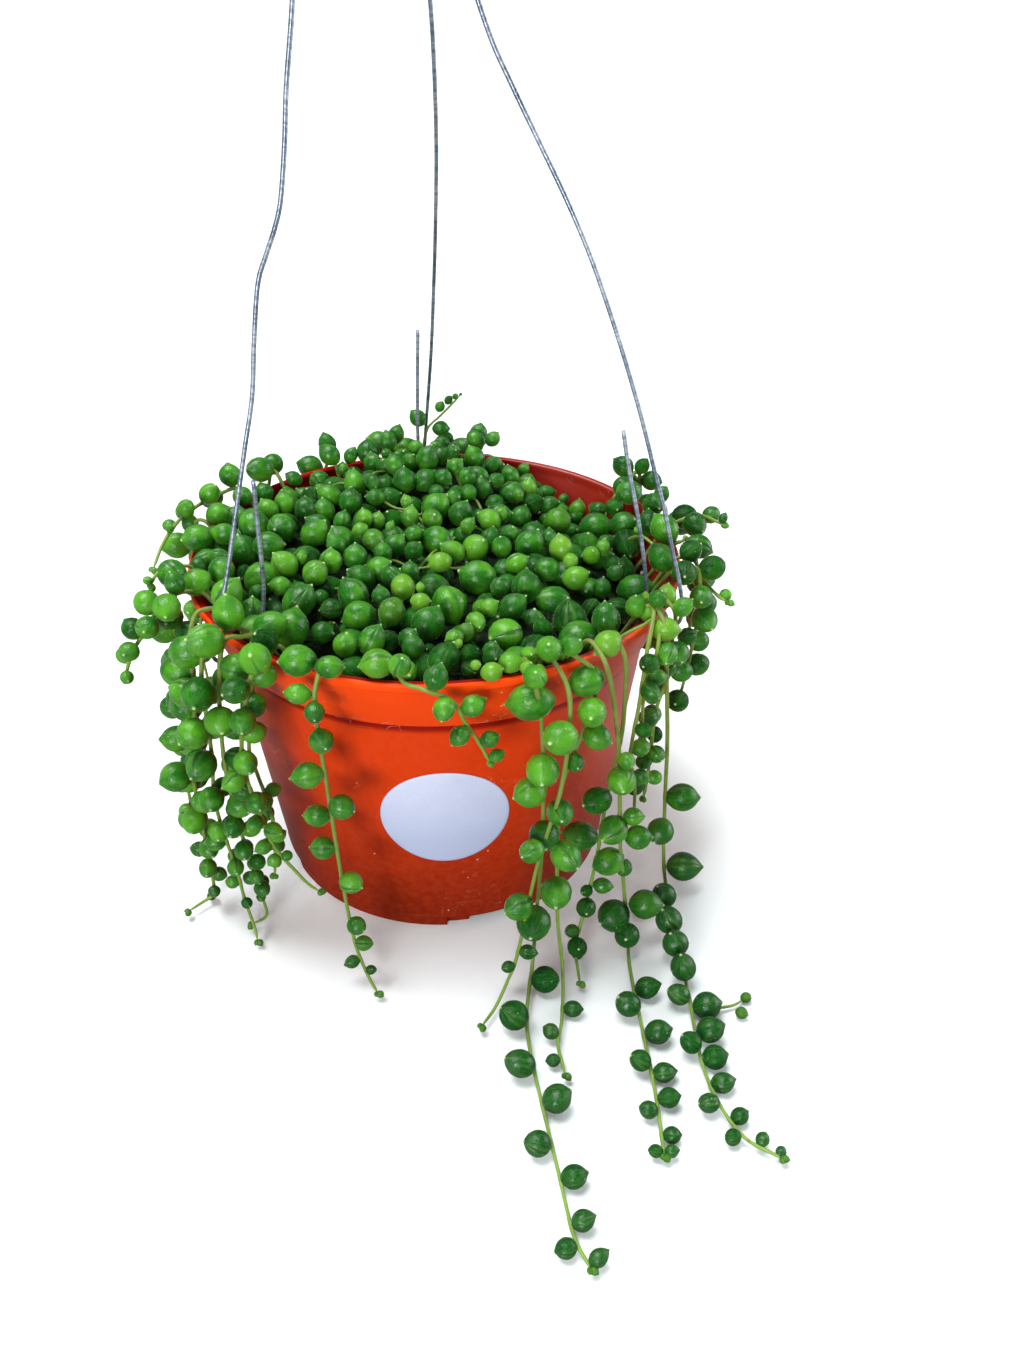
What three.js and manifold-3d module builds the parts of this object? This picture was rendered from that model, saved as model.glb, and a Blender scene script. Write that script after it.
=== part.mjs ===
// Potted string of pearls in a nursery pot with a three-wire hanger.
// Millimetres, +Z up. The frame's origin is the centre of the pot's foot, on the floor.
// The front of the pot, with the round label, faces -Y.
import * as THREE from 'three';
import { mergeVertices } from 'three/addons/utils/BufferGeometryUtils.js';
import Module from 'manifold-3d';

const wasm = await Module();
wasm.setup();

// ---------------------------------------------------------------- driving sizes
const POT_HEIGHT = 107;
const LIP_RADIUS = 75;
const FOOT_RADIUS = 55.6;
const FOOT_DEPTH = 3;
const FLOOR_TOP = 5;
const PAD_RADIUS = 16;
const LATHE_SIDES = 28;

const DRAIN_HOLES = 6;
const DRAIN_RADIUS = 3;
const DRAIN_CIRCLE = 40;
const FOOT_GAPS = 4;
const FOOT_GAP_START = -90.3;
const FOOT_GAP_SWEEP = 28;
const FOOT_PAD_SWEEP = 7.6;

const LABEL_RADIUS = 19;
const LABEL_HEIGHT = 51;
const LABEL_THICKNESS = 0.35;

const WIRE_RADIUS = 0.6;
const WIRE_HOLE_RADIUS = 1.6;
const WIRE_HOLE_HEIGHT = 97.4;
const WIRE_TOP = 379;
const WIRE_SPREAD = 2.6;
const FERRULE_BOTTOM = 372;
const FERRULE_HEIGHT = 14;
const FERRULE_RADIUS = 5;
const HOOK_RADIUS = 1.2;
const HOOK_BEND = 13;

const SOIL_TOP = 94;
const SOIL_GAP = 0.35;
const ROOT_CIRCLE = 63.3;
const ROOT_DEPTH = 6;
const STEM_RADIUS = 0.75;

const CORE_RADIUS = 60.5;
const CLEARANCE = 0.35;

// ---------------------------------------------------------------- materials
const plastic = new THREE.MeshStandardMaterial({ color: 0xc24a22, roughness: 0.45 });
const earth = new THREE.MeshStandardMaterial({ color: 0x2d221b, roughness: 1.0 });
const paper = new THREE.MeshStandardMaterial({ color: 0xe9edf5, roughness: 0.7 });
const zinc = new THREE.MeshStandardMaterial({ color: 0x7f8894, roughness: 0.4, metalness: 0.9 });
const leaf = new THREE.MeshStandardMaterial({ color: 0x3f8f3a, roughness: 0.4 });

// ---------------------------------------------------------------- small helpers
const radians = (degrees) => (degrees * Math.PI) / 180;

// A repeatable stream of numbers from 0 to 1.
function seeded(seed) {
  let a = seed >>> 0;
  return () => {
    a = (a + 0x6d2b79f5) >>> 0;
    let t = a;
    t = Math.imul(t ^ (t >>> 15), t | 1) >>> 0;
    t = (t ^ (t + Math.imul(t ^ (t >>> 7), t | 61))) >>> 0;
    return ((t ^ (t >>> 14)) >>> 0) / 4294967296;
  };
}

// A three.js shape becomes one closed solid, faces out.
function solid(geometry) {
  const plain = geometry.clone();
  plain.deleteAttribute('normal');
  plain.deleteAttribute('uv');
  const merged = mergeVertices(plain, 1e-4);
  const make = (index) => new wasm.Manifold(new wasm.Mesh({
    numProp: 3,
    vertProperties: new Float32Array(merged.attributes.position.array),
    triVerts: new Uint32Array(index),
  }));
  const index = Array.from(merged.index.array);
  const keep = [];
  for (let i = 0; i < index.length; i += 3) {
    const [p, q, r] = index.slice(i, i + 3);
    if (p !== q && q !== r && r !== p) keep.push(p, q, r);
  }
  const body = make(keep);
  if (body.volume() > 0) return body;
  const flipped = [];
  for (let i = 0; i < keep.length; i += 3) flipped.push(keep[i], keep[i + 2], keep[i + 1]);
  return make(flipped);
}

function named(name, body, material) {
  const data = body.getMesh();
  const geometry = new THREE.BufferGeometry();
  const corners = new Float32Array(data.numVert * 3);
  for (let i = 0; i < data.numVert; i += 1) {
    for (let k = 0; k < 3; k += 1) corners[i * 3 + k] = data.vertProperties[i * data.numProp + k];
  }
  geometry.setAttribute('position', new THREE.BufferAttribute(corners, 3));
  geometry.setIndex(new THREE.BufferAttribute(new Uint32Array(data.triVerts), 1));
  geometry.computeVertexNormals();
  const mesh = new THREE.Mesh(geometry, material);
  mesh.name = name;
  return mesh;
}

// A turned shape about +Z from a profile of [radius, height] pairs.
function turned(profile, sides = LATHE_SIDES) {
  const points = profile.map(([r, z]) => new THREE.Vector2(r, z));
  const geometry = new THREE.LatheGeometry(points, sides);
  geometry.rotateX(Math.PI / 2);
  return geometry;
}

// An upright round post or drill.
function post(radius, bottom, top, x, y, sides = 6) {
  const geometry = new THREE.CylinderGeometry(radius, radius, top - bottom, sides);
  geometry.rotateX(Math.PI / 2);
  geometry.translate(x, y, (top + bottom) / 2);
  return solid(geometry);
}

// A route through hand-picked points, read by distance along it.
function route(points) {
  const path = points.map(([x, y, z]) => new THREE.Vector3(x, y, z));
  return new THREE.CatmullRomCurve3(path, false, 'catmullrom', 0.5);
}

// A bent wire's route: its steps crowd where the picked points crowd, in the tight bends.
class WireCurve extends THREE.CatmullRomCurve3 {
  getPointAt(u, target) {
    return this.getPoint(u, target);
  }

  getTangentAt(u, target) {
    return this.getTangent(u, target);
  }

  getSpacedPoints(divisions) {
    return this.getPoints(divisions);
  }
}

function wireCurve(points) {
  const path = points.map(([x, y, z]) => new THREE.Vector3(x, y, z));
  return new WireCurve(path, false, 'catmullrom', 0.5);
}

// A round or three-sided rod swept along a route.
function rod(path, radius, sides, steps) {
  const outline = new THREE.Shape();
  for (let i = 0; i < sides; i += 1) {
    const a = (i / sides) * Math.PI * 2;
    const x = radius * Math.cos(a);
    const y = radius * Math.sin(a);
    if (i === 0) outline.moveTo(x, y);
    else outline.lineTo(x, y);
  }
  outline.closePath();
  const options = { steps, bevelEnabled: false, extrudePath: path };
  return solid(new THREE.ExtrudeGeometry(outline, options));
}

// ---------------------------------------------------------------- pot
const OUTER_WALL = [
  [FOOT_RADIUS, 0], [66.6, 88.6], [68.4, 89.0], [74.3, 104.1], [LIP_RADIUS, 104.6], [LIP_RADIUS, POT_HEIGHT],
];
const INNER_WALL = [[72.5, POT_HEIGHT], [72.4, 104.2], [66.7, 89.2], [65, 88], [54.1, FLOOR_TOP]];
const WALL = [...OUTER_WALL, ...INNER_WALL];

function ringSector(inner, outer, start, sweep, bottom, top) {
  const sector = new THREE.Shape();
  sector.absarc(0, 0, outer, radians(start), radians(start + sweep), false);
  sector.absarc(0, 0, inner, radians(start + sweep), radians(start), true);
  sector.closePath();
  const geometry = new THREE.ExtrudeGeometry(sector, { depth: top - bottom, bevelEnabled: false, curveSegments: 4 });
  geometry.translate(0, 0, bottom);
  return solid(geometry);
}

function buildPot() {
  const foot = [
    [0, FLOOR_TOP], [0, 0], [PAD_RADIUS, 0], [PAD_RADIUS, FOOT_DEPTH], [50.5, FOOT_DEPTH], [50.5, 0],
  ];
  let pot = solid(turned([...foot, ...WALL, [0, FLOOR_TOP]]));
  for (let i = 0; i < DRAIN_HOLES; i += 1) {
    const a = radians((i + 0.5) * (360 / DRAIN_HOLES));
    const x = DRAIN_CIRCLE * Math.cos(a);
    const y = DRAIN_CIRCLE * Math.sin(a);
    pot = pot.subtract(post(DRAIN_RADIUS, -1, FLOOR_TOP + 1, x, y, 6));
  }
  for (let i = 0; i < FOOT_GAPS; i += 1) {
    const start = FOOT_GAP_START + (i * 360) / FOOT_GAPS;
    pot = pot.subtract(ringSector(54, 58, start, FOOT_GAP_SWEEP, -1, FOOT_DEPTH));
    const rest = FOOT_GAP_SWEEP - FOOT_PAD_SWEEP;
    pot = pot.subtract(ringSector(49, 58, start + FOOT_PAD_SWEEP, rest, -1, FOOT_DEPTH));
  }
  for (const { azimuth } of WIRES) {
    const drill = new THREE.CylinderGeometry(WIRE_HOLE_RADIUS, WIRE_HOLE_RADIUS, 16, 8);
    drill.rotateZ(Math.PI / 2);
    drill.translate(71, 0, WIRE_HOLE_HEIGHT);
    drill.rotateZ(radians(azimuth));
    pot = pot.subtract(solid(drill));
  }
  return pot;
}

function buildLabel() {
  const slope = (66.6 - FOOT_RADIUS) / 88.6;
  const wall = (z, lift) => FOOT_RADIUS + slope * z + lift;
  const low = LABEL_HEIGHT - LABEL_RADIUS - 4;
  const high = LABEL_HEIGHT + LABEL_RADIUS + 4;
  const near = 0.05;
  const far = near + LABEL_THICKNESS;
  const shell = solid(turned([
    [wall(low, near), low], [wall(low, far), low], [wall(high, far), high], [wall(high, near), high], [wall(low, near), low],
  ]));
  const punch = new THREE.CylinderGeometry(LABEL_RADIUS, LABEL_RADIUS, 40, 28);
  punch.translate(0, -60, LABEL_HEIGHT);
  return shell.intersect(solid(punch));
}

// ---------------------------------------------------------------- hanger
// Each wire is given in its own radial plane as [radius, height], from the tail inside the pot,
// out through the hole in the collar, round the hook and up to the crimp. A third number is how far
// the wire strays sideways from that plane.
const HOOK_TURN = [[69.2, 98.3], [71.2, 97.3], [74, 97.3], [77.4, 98.9], [79, 102]];
const WIRES = [
  {
    name: 'wire_right',
    azimuth: -28,
    tail: [[57.7, 155], [60.1, 144], [63.8, 130], [67, 115], [68.5, 104]],
    rise: [[78.8, 107], [77, 114.5], [74.8, 121.5], [71, 134.5], [68.1, 142.7], [63, 157.8], [57.6, 172],
      [51.9, 185.6], [45.9, 198.6], [39.1, 211], [31.7, 223], [24.5, 234.6], [18, 246], [12, 262], [7.5, 285],
      [5, 315], [4, 340]],
  },
  {
    name: 'wire_left',
    azimuth: -141.5,
    tail: [[59.7, 147.3], [60.2, 133.2], [60.7, 118], [62.3, 108.5], [66, 101.5]],
    rise: [[77.6, 106.5], [75.6, 111.5], [71.4, 122.5], [66.5, 138.2], [61.2, 155.5], [57, 169], [54.5, 182.6],
      [51.7, 195.3], [48.7, 201.3], [45.5, 207], [43.1, 213], [40.6, 224.6], [38.7, 236], [35.2, 252],
      [31, 275], [24, 305], [13.5, 338], [4.5, 362]],
  },
  {
    name: 'wire_back',
    azimuth: 93,
    tail: [[64.5, 155, 0.5], [65.5, 136, 1.3], [67, 116, 1.8], [68.4, 104, 0.9]],
    rise: [[79.2, 107, -0.9], [77.4, 117, -1.7], [71, 143, -3.8], [64, 165, -4.9], [57, 190, -5.9],
      [49, 215, -6.3], [38, 240, -5.4], [31, 262, -3.9], [24, 290, -2.6], [15, 325, -1.3], [5, 360]],
  },
];

function wireRoute({ azimuth, tail, rise }) {
  const c = Math.cos(radians(azimuth));
  const s = Math.sin(radians(azimuth));
  const plane = [...tail, ...HOOK_TURN, ...rise, [WIRE_SPREAD, 370], [WIRE_SPREAD, WIRE_TOP]];
  return plane.map(([r, z, aside = 0]) => [r * c - aside * s, r * s + aside * c, z]);
}

function buildFerrule() {
  const top = FERRULE_BOTTOM + FERRULE_HEIGHT;
  let ferrule = solid(turned([
    [0, FERRULE_BOTTOM], [4.2, FERRULE_BOTTOM], [FERRULE_RADIUS, FERRULE_BOTTOM + 1], [FERRULE_RADIUS, top - 1],
    [4.2, top], [0, top],
  ], 12));
  for (const { azimuth } of WIRES) {
    const x = WIRE_SPREAD * Math.cos(radians(azimuth));
    const y = WIRE_SPREAD * Math.sin(radians(azimuth));
    ferrule = ferrule.subtract(post(WIRE_RADIUS + 0.35, FERRULE_BOTTOM - 1, WIRE_TOP + 0.3, x, y, 8));
  }
  return ferrule.subtract(post(HOOK_RADIUS + 0.35, top - 6, top + 1, 0, 0, 8));
}

function buildHook() {
  const bottom = FERRULE_BOTTOM + FERRULE_HEIGHT - 5.7;
  const middle = bottom + 36;
  const points = [[0, 0, bottom], [0, 0, bottom + 9], [0, 0, bottom + 17]];
  for (let i = 0; i <= 8; i += 1) {
    const a = radians(-68 + i * 32);
    points.push([HOOK_BEND * Math.cos(a), 0, middle + HOOK_BEND * Math.sin(a)]);
  }
  return rod(wireCurve(points), HOOK_RADIUS, 6, points.length + 6);
}

// ---------------------------------------------------------------- soil
// The top is level under the mat and a little uneven along the pot's wall.
function soilHeight(x, y) {
  return SOIL_TOP + (Math.hypot(x, y) > CORE_RADIUS ? 0.6 * Math.sin(5 * Math.atan2(y, x) + 1) - 0.4 : 0);
}

function buildSoil(holes) {
  const gap = SOIL_GAP;
  const geometry = turned([
    [0, FLOOR_TOP + gap], [54.1 - gap, FLOOR_TOP + gap], [65 - gap, 88 + gap], [66.7 - gap, 89.2 + gap],
    [68.1, SOIL_TOP], [0, SOIL_TOP],
  ]);
  const spots = geometry.attributes.position;
  for (let i = 0; i < spots.count; i += 1) {
    if (spots.getZ(i) > SOIL_TOP - 0.5) spots.setZ(i, soilHeight(spots.getX(i), spots.getY(i)));
  }
  let soil = solid(geometry);
  for (const [x, y, radius] of holes) {
    soil = soil.subtract(post(radius, SOIL_TOP - ROOT_DEPTH - 0.3, SOIL_TOP + 3, x, y, 4));
  }
  return soil;
}

// ---------------------------------------------------------------- trailing stems
// Each stem: where it leaves the soil (azimuth), the points it hangs and lies through, and where its
// pearls sit, in mm from its root; a minus sign puts a pearl on the left. Radii run from first to last.
const TRACED = [
  {
    name: 'stem_front_left', azimuth: -113, radii: [4.4, 1.8],
    via: [[-32, -75, 105], [-32, -75, 92], [-31, -76, 72], [-30, -76, 45], [-28, -77, 18], [-25, -78, 4],
      [-22, -84, 3]],
    beads: [-22, -32, 29, -39, 45, 54, -62, 72, -77, -89, 100, 117, 126, -133, 138],
  },
  {
    name: 'stem_front_short', azimuth: -98, radii: [3.3, 2],
    via: [[-9, -78, 110], [-4, -81, 110], [3, -81, 106], [6, -81, 99], [9, -80, 93], [12, -80, 86]],
    beads: [-15, -25, 40, -44, 50, -55, 62, 69],
  },
  {
    name: 'stem_front_long', azimuth: -73, radii: [5.2, 2.4],
    via: [[24, -78, 107], [26, -78, 92], [27, -77, 57], [26, -77, 25], [25, -79, 6], [22, -95, 3],
      [22, -109, 3], [24, -128, 3], [26, -145, 3], [28, -162, 3], [31, -170, 3]],
    beads: [-26, -41, 54, -65, -73, 78, 88, 96, 110, -118, -125, 141, -158, -174, 186, -198, 208, 220,
      -225, 231],
  },
  {
    name: 'stem_front_thin', azimuth: -64, radii: [3.6, 2],
    via: [[41, -69, 104], [38, -72, 90], [32, -76, 74], [31, -79, 58], [32, -79, 26], [34, -82, 5],
      [32, -98, 3], [30, -106, 3], [31, -116, 3]],
    beads: [-31, 45, -57, -70, 85, 99, -113, -135, 155, -165, -173],
  },
  {
    name: 'stem_front_fork', azimuth: -68, radii: [3.2, 2],
    via: [[33, -76, 102], [31, -83, 80], [25, -83, 50], [20, -83, 15], [17, -85, 6], [13, -92, 3], [9, -98, 3]],
    beads: [-31, -55, 73, -91, -113, -123, 129, -135],
  },
  {
    name: 'stem_front_side', azimuth: -53, radii: [3.6, 1.9],
    via: [[49, -64, 106], [50, -63, 92], [50, -62, 78], [47, -63, 56], [45, -65, 36], [42, -68, 18],
      [39, -72, 6], [39, -79, 3], [39, -84, 3]],
    beads: [-35, 57, 79, 95, -111, 117, 128, -134, 141],
  },
  {
    name: 'stem_right_front', azimuth: -58, radii: [4.3, 2],
    via: [[43, -70, 108], [46, -69, 95], [49, -68, 73], [51, -68, 45], [54, -64, 24], [56, -68, 5],
      [55, -80, 3], [55, -106, 3], [55, -124, 3], [54, -142, 3]],
    beads: [-33, -43, -54, -67, 80, -90, 101, -116, -140, 149, 163, -170, 179, -189, 192, 198, -204,
      211, 215, -221],
  },
  {
    name: 'stem_right_long', azimuth: -38, radii: [4.6, 1.6],
    via: [[62, -53, 107], [64, -51, 90], [67, -48, 65], [70, -42, 35], [72, -43, 8], [72, -60, 3],
      [71, -90, 3], [70, -118, 3], [75, -137, 3], [84, -145, 3]],
    beads: [-17, 25, -33, 108, -123, 138, -151, -160, -170, -179, -187, 193, 200, -207, 211, 218, -225,
      231, -235, 241, 247],
  },
  {
    name: 'stem_right_back_inner', azimuth: -34, radii: [3.8, 2.4], bushy: true,
    via: [[66, -45, 108], [66, -44, 96], [67, -43, 89], [63, -47, 78], [62, -49, 69], [62, -49, 59],
      [61, -50, 46]],
    beads: [19, -27, 35, -45, 55, -65, 75, -85, 92],
  },
  {
    name: 'stem_right_rim', azimuth: -20, radii: [4, 3.2], bushy: true,
    via: [[76, -26, 112], [77, -28, 104], [77, -28, 94], [76, -29, 84], [75, -30, 77], [73, -32, 68]],
    beads: [11, -19, 25, -29, 35, -41, 47, -53, 59, -65],
  },
  {
    name: 'stem_right_twig', azimuth: -14, radii: [4, 1.8],
    via: [[77, -18, 110], [79, -22, 106], [82, -28, 104], [84, -32, 104]],
    beads: [-13, 19, -25, 47],
  },
  {
    name: 'stem_right_side', azimuth: -6, radii: [4.6, 3], bushy: true,
    via: [[76, -6, 113], [80, -8, 105], [81, -8, 96], [80, -9, 88], [80, -10, 78]],
    beads: [9, -17, 23, -29, 37, -43, 51, -57, 63],
  },
  {
    name: 'stem_left_outer', azimuth: -156, radii: [4.2, 2],
    via: [[-72, -37, 114], [-75, -38, 112], [-78, -39, 109], [-80, -40, 105], [-83, -41, 102],
      [-86, -42, 97], [-88, -43, 92]],
    beads: [13, -19, -29, -33, 38, -42, 47, -52, 56, -60, 64],
  },
  {
    name: 'stem_left_back', azimuth: -161, radii: [4.2, 2.4], bushy: true,
    via: [[-74, -27, 110], [-76, -28, 101], [-76, -28, 90], [-78, -28, 74], [-79, -28, 57], [-81, -28, 44],
      [-82, -27, 32], [-82, -26, 20]],
    beads: [-15, 23, -31, 39, -47, 53, -59, 67, -75, 83, -91, 98, -106, 113, -119],
  },
  {
    name: 'stem_left_crest', azimuth: 150, radii: [3.9, 1.5],
    via: [[-71, 31, 112], [-76, 22, 112.5], [-80, 11, 112.5], [-83, 2, 110], [-85, -6, 106]],
    beads: [-22, 30, -36, 44, -50, 56, -61, 65],
  },
  {
    name: 'stem_left_mid', azimuth: -136.5, radii: [4.8, 1.8], bushy: true,
    via: [[-61, -57, 110], [-63, -60, 102], [-64, -58, 90], [-65, -56, 73], [-67, -54, 55], [-66, -54, 40],
      [-64, -55, 28], [-63, -56, 16], [-61, -58, 6], [-60, -61, 3]],
    beads: [-22, 31, -40, 47, -54, 61, -68, 75, -82, 89, -96, 103, -110, 118, -126, 133],
  },
  {
    name: 'stem_right_crest', azimuth: 4, radii: [4.6, 1.6],
    via: [[79, 5, 113], [83, 7, 113], [87, 6, 112], [90, 4, 111]],
    beads: [-22, 29, -34, 39, 43],
  },
  {
    name: 'stem_right_corner', azimuth: 30, radii: [3.9, 2.8], bushy: true,
    via: [[67, 39, 113], [70, 42, 112], [71, 43, 104], [71, 43, 90], [70, 44, 75], [70, 42, 62]],
    beads: [-14, 20, -25, 31, -38, 47, -58, 68, -78],
  },
  {
    name: 'stem_left_long', azimuth: -147, radii: [5.4, 1.7], bushy: true,
    via: [[-66, -43, 111], [-68, -47, 104], [-68, -50, 91], [-72, -46, 70], [-74, -45, 60], [-75, -44, 45],
      [-75, -43, 30], [-75, -43, 16], [-76, -42, 5], [-79, -43, 3], [-83, -47, 3]],
    beads: [-17, 25, -33, 43, -49, 57, -65, 71, -79, 87, -93, 103, -109, 117, 125, -132, 137, -143],
  },
  {
    name: 'stem_left_main', azimuth: -132.5, radii: [4.8, 1.7], bushy: true,
    via: [[-56, -59, 112], [-59, -60, 97], [-61, -59, 76], [-61, -58, 59], [-60, -57, 41], [-59, -55, 28],
      [-58, -53, 12], [-58, -52, 4], [-62, -54, 3]],
    beads: [-15, 25, -33, 41, -47, 55, -63, 73, -81, 89, -97, 107, -115, 121, -126, 132],
  },
  {
    name: 'stem_left_front', azimuth: -125, radii: [4.3, 1.6], bushy: true,
    via: [[-45, -67, 112], [-48, -69, 108], [-51, -69, 98], [-54, -67, 83], [-54, -66, 71], [-51, -66, 53],
      [-49, -66, 45], [-44, -67, 37], [-41, -68, 33], [-38, -69, 31]],
    beads: [-15, 25, 33, -43, 51, -57, 67, -75, 83, 95, -101, 107],
  },
];

// Stems on the sides the picture does not show: azimuth, height of the tip, sideways sway in degrees.
const UNSEEN = [
  [16, 40, 4], [78, 28, 5], [101, 46, -4], [119, 64, 3], [137, 34, 4], [169, 50, -3],
];

function overRim(azimuth) {
  const c = Math.cos(radians(azimuth));
  const s = Math.sin(radians(azimuth));
  const plane = [
    [ROOT_CIRCLE, SOIL_TOP - ROOT_DEPTH], [ROOT_CIRCLE, SOIL_TOP + 0.5], [66.4, 99.5], [72.2, 110],
    [76, 111.5],
  ];
  return plane.map(([r, z]) => [r * c, r * s, z]);
}

function unseenStem([azimuth, tip, sway], order) {
  const via = [];
  for (let k = 0; k < 5; k += 1) {
    const a = radians(azimuth + sway * Math.sin(k * 1.3));
    const r = 79.5 + 1.5 * Math.sin(k * 0.9 + azimuth);
    via.push([r * Math.cos(a), r * Math.sin(a), 106 + ((tip - 106) * k) / 4]);
  }
  const beads = [];
  const draw = seeded(500 + order);
  let side = order % 2 ? 1 : -1;
  for (let along = 10 + 4 * draw(); along < 28 + (106 - tip); along += 11 + 4 * draw()) {
    beads.push(side * along);
    side = -side;
  }
  return { name: `stem_unseen_${order + 1}`, azimuth, radii: [4.8, 2.8], bushy: true, via, beads };
}

// ---------------------------------------------------------------- pearls
// A pearl is a small sixteen-faced ball with a pointed tip away from its stem.
const PEARL_CORNERS = [[0, 0, -1]];
for (let i = 0; i < 8; i += 1) {
  const a = (i * Math.PI) / 4;
  PEARL_CORNERS.push([Math.cos(a), Math.sin(a), i % 2 ? 0.4 : -0.42]);
}
PEARL_CORNERS.push([0, 0, 1]);
const PEARL_FACES = [];
for (let i = 1; i <= 8; i += 2) {
  const next = (i % 8) + 1;
  const after = ((i + 1) % 8) + 1;
  const before = ((i + 6) % 8) + 1;
  PEARL_FACES.push(0, after, i, i, after, next, 9, before, next, before, i, next);
}
const PEARL_TIP = 0.16;
const PEARL_STALK = 0.2;
const PEARL_OFFSET = 1.12;

function pearlSolid({ centre, radius, axis }) {
  const geometry = new THREE.PolyhedronGeometry(PEARL_CORNERS.flat(), PEARL_FACES, radius * 1.04, 0);
  const corners = geometry.attributes.position;
  for (let i = 0; i < corners.count; i += 1) {
    if (corners.getZ(i) > radius) corners.setZ(i, radius * (1 + PEARL_TIP));
    if (corners.getZ(i) < -radius) corners.setZ(i, -radius * (1 + PEARL_STALK));
  }
  const turn = new THREE.Quaternion().setFromUnitVectors(new THREE.Vector3(0, 0, 1), axis);
  geometry.applyQuaternion(turn);
  geometry.translate(centre.x, centre.y, centre.z);
  return solid(geometry);
}

function wallGap(p) {
  const rho = Math.hypot(p.x, p.y);
  let best = 1e9;
  for (let i = 0; i + 1 < WALL.length; i += 1) {
    const [a, b] = WALL[i];
    const [c, d] = WALL[i + 1];
    const u = c - a;
    const w = d - b;
    const t = Math.min(1, Math.max(0, ((rho - a) * u + (p.z - b) * w) / (u * u + w * w)));
    best = Math.min(best, Math.hypot(rho - a - t * u, p.z - b - t * w));
  }
  return best;
}

// Everything already in place, as balls with an owner.
const placed = [];

function roomFor(centre, radius, owner, ownSlack) {
  const reach = radius * 1.08;
  if (centre.z - radius < 0.3) return false;
  if (wallGap(centre) < reach + CLEARANCE) return false;
  if (Math.hypot(centre.x, centre.y) < 69 && centre.z - reach < SOIL_TOP + 1.2 + CLEARANCE) return false;
  if (owner !== 'pearl_mat' && nearCore(centre, reach)) return false;
  for (const ball of placed) {
    const gap = centre.distanceTo(ball.centre) - reach - ball.radius;
    const need = ball.owner === owner ? -ownSlack * Math.min(radius, ball.radius) : CLEARANCE;
    if (ball.stem && ball.owner === owner) continue;
    if (gap < need) return false;
  }
  return true;
}

function nearCore(centre, reach) {
  const r = Math.hypot(centre.x, centre.y);
  return r - reach < CORE_RADIUS + CLEARANCE && centre.z - reach < matTop(centre.x, centre.y) - 6;
}

function placeRod(path, radius, owner) {
  const length = path.getLength();
  for (let s = 0; s <= length; s += 1) {
    placed.push({ centre: path.getPointAt(s / length), radius, owner, stem: true });
  }
}

// A stem's pearl radius is even for most of its length and falls off towards the end.
function pearlSize(stem, share) {
  return THREE.MathUtils.lerp(stem.radii[0], stem.radii[1], share ** 2.5);
}

// Where a pearl sits at a distance along a stem: beside it, turned up from the side by an angle.
function pearlBeside(stem, along, radius, swing, toRight) {
  const length = stem.path.getLength();
  const point = stem.path.getPointAt(along / length);
  const tangent = stem.path.getTangentAt(along / length);
  const rho = Math.hypot(point.x, point.y);
  const up = new THREE.Vector3((0.8 * point.x) / rho, (0.8 * point.y) / rho, 1);
  up.addScaledVector(tangent, -up.dot(tangent)).normalize();
  const side = new THREE.Vector3().crossVectors(up, tangent);
  const lift = (radius + 0.45 - point.z) / (PEARL_OFFSET * radius);
  const rise = point.z < 4.5 ? Math.asin(Math.min(1, Math.max(-1, lift))) + 0.4 * swing : swing;
  const angle = toRight ? rise : Math.PI - rise;
  const axis = side.multiplyScalar(Math.cos(angle)).addScaledVector(up, Math.sin(angle));
  return { centre: point.clone().addScaledVector(axis, radius * PEARL_OFFSET), radius, axis, along };
}

function settle(stem, pearl, pearls) {
  if (!roomFor(pearl.centre, pearl.radius, stem.name, 0.02)) return false;
  pearls.push(pearl);
  placed.push({ centre: pearl.centre, radius: pearl.radius * 1.08, owner: stem.name, stem: false });
  return true;
}

function stemPearls(stem, order) {
  const length = stem.path.getLength();
  const draw = seeded(900 + order);
  const pearls = [];
  stem.beads.forEach((bead, k) => {
    const size = pearlSize(stem, k / Math.max(1, stem.beads.length - 1)) * (0.93 + 0.14 * draw());
    const first = radians(5 + 35 * draw());
    for (let t = 0; t < 24; t += 1) {
      const along = Math.min(length - 0.6, Math.abs(bead) + [0, 1.5, -1.5][t % 3] * (t > 7 ? 1.5 : 1));
      const radius = size * (t < 12 ? 1 : t < 18 ? 0.86 : 0.72);
      const swing = first + radians([0, 28, -24, 55, -50, 85][Math.floor(t / 3) % 6]);
      if (settle(stem, pearlBeside(stem, along, radius, swing, bead > 0), pearls)) break;
    }
  });
  return pearls;
}

// A bushy stem also takes a pearl wherever one still fits round it.
function fillStem(stem, order) {
  const length = stem.path.getLength();
  const draw = seeded(1300 + order);
  for (let along = 16; along < 0.88 * length; along += 3) {
    const radius = pearlSize(stem, along / length) * (0.8 + 0.18 * draw());
    const first = 2 * Math.PI * draw();
    for (let t = 0; t < 6; t += 1) {
      const pearl = pearlBeside(stem, along, radius, first + (t * Math.PI) / 3, true);
      if (settle(stem, pearl, stem.pearls)) break;
    }
  }
}

// ---------------------------------------------------------------- mat
const bump = (x, y, cx, cy, width) => Math.exp(-((x - cx) ** 2 + (y - cy) ** 2) / (2 * width * width));

// Height of the pearls' tops over the pot: higher at the left and at the back's middle.
function matTop(x, y) {
  return 111 + 6 * bump(x, y, -50, -5, 28) + 10 * bump(x, y, 4, 50, 20) + 4 * bump(x, y, -30, 40, 18)
    - 9 * bump(x, y, 48, 44, 18) - 5 * bump(x, y, -50, 52, 14) - 6 * bump(x, y, 52, -34, 12);
}

function coreTop(x, y) {
  const r = Math.hypot(x, y);
  const edge = Math.min(1, Math.max(0, (CORE_RADIUS - r) / 9));
  return 98.5 + (matTop(x, y) - 8 - 98.5) * Math.sqrt(edge);
}

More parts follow.
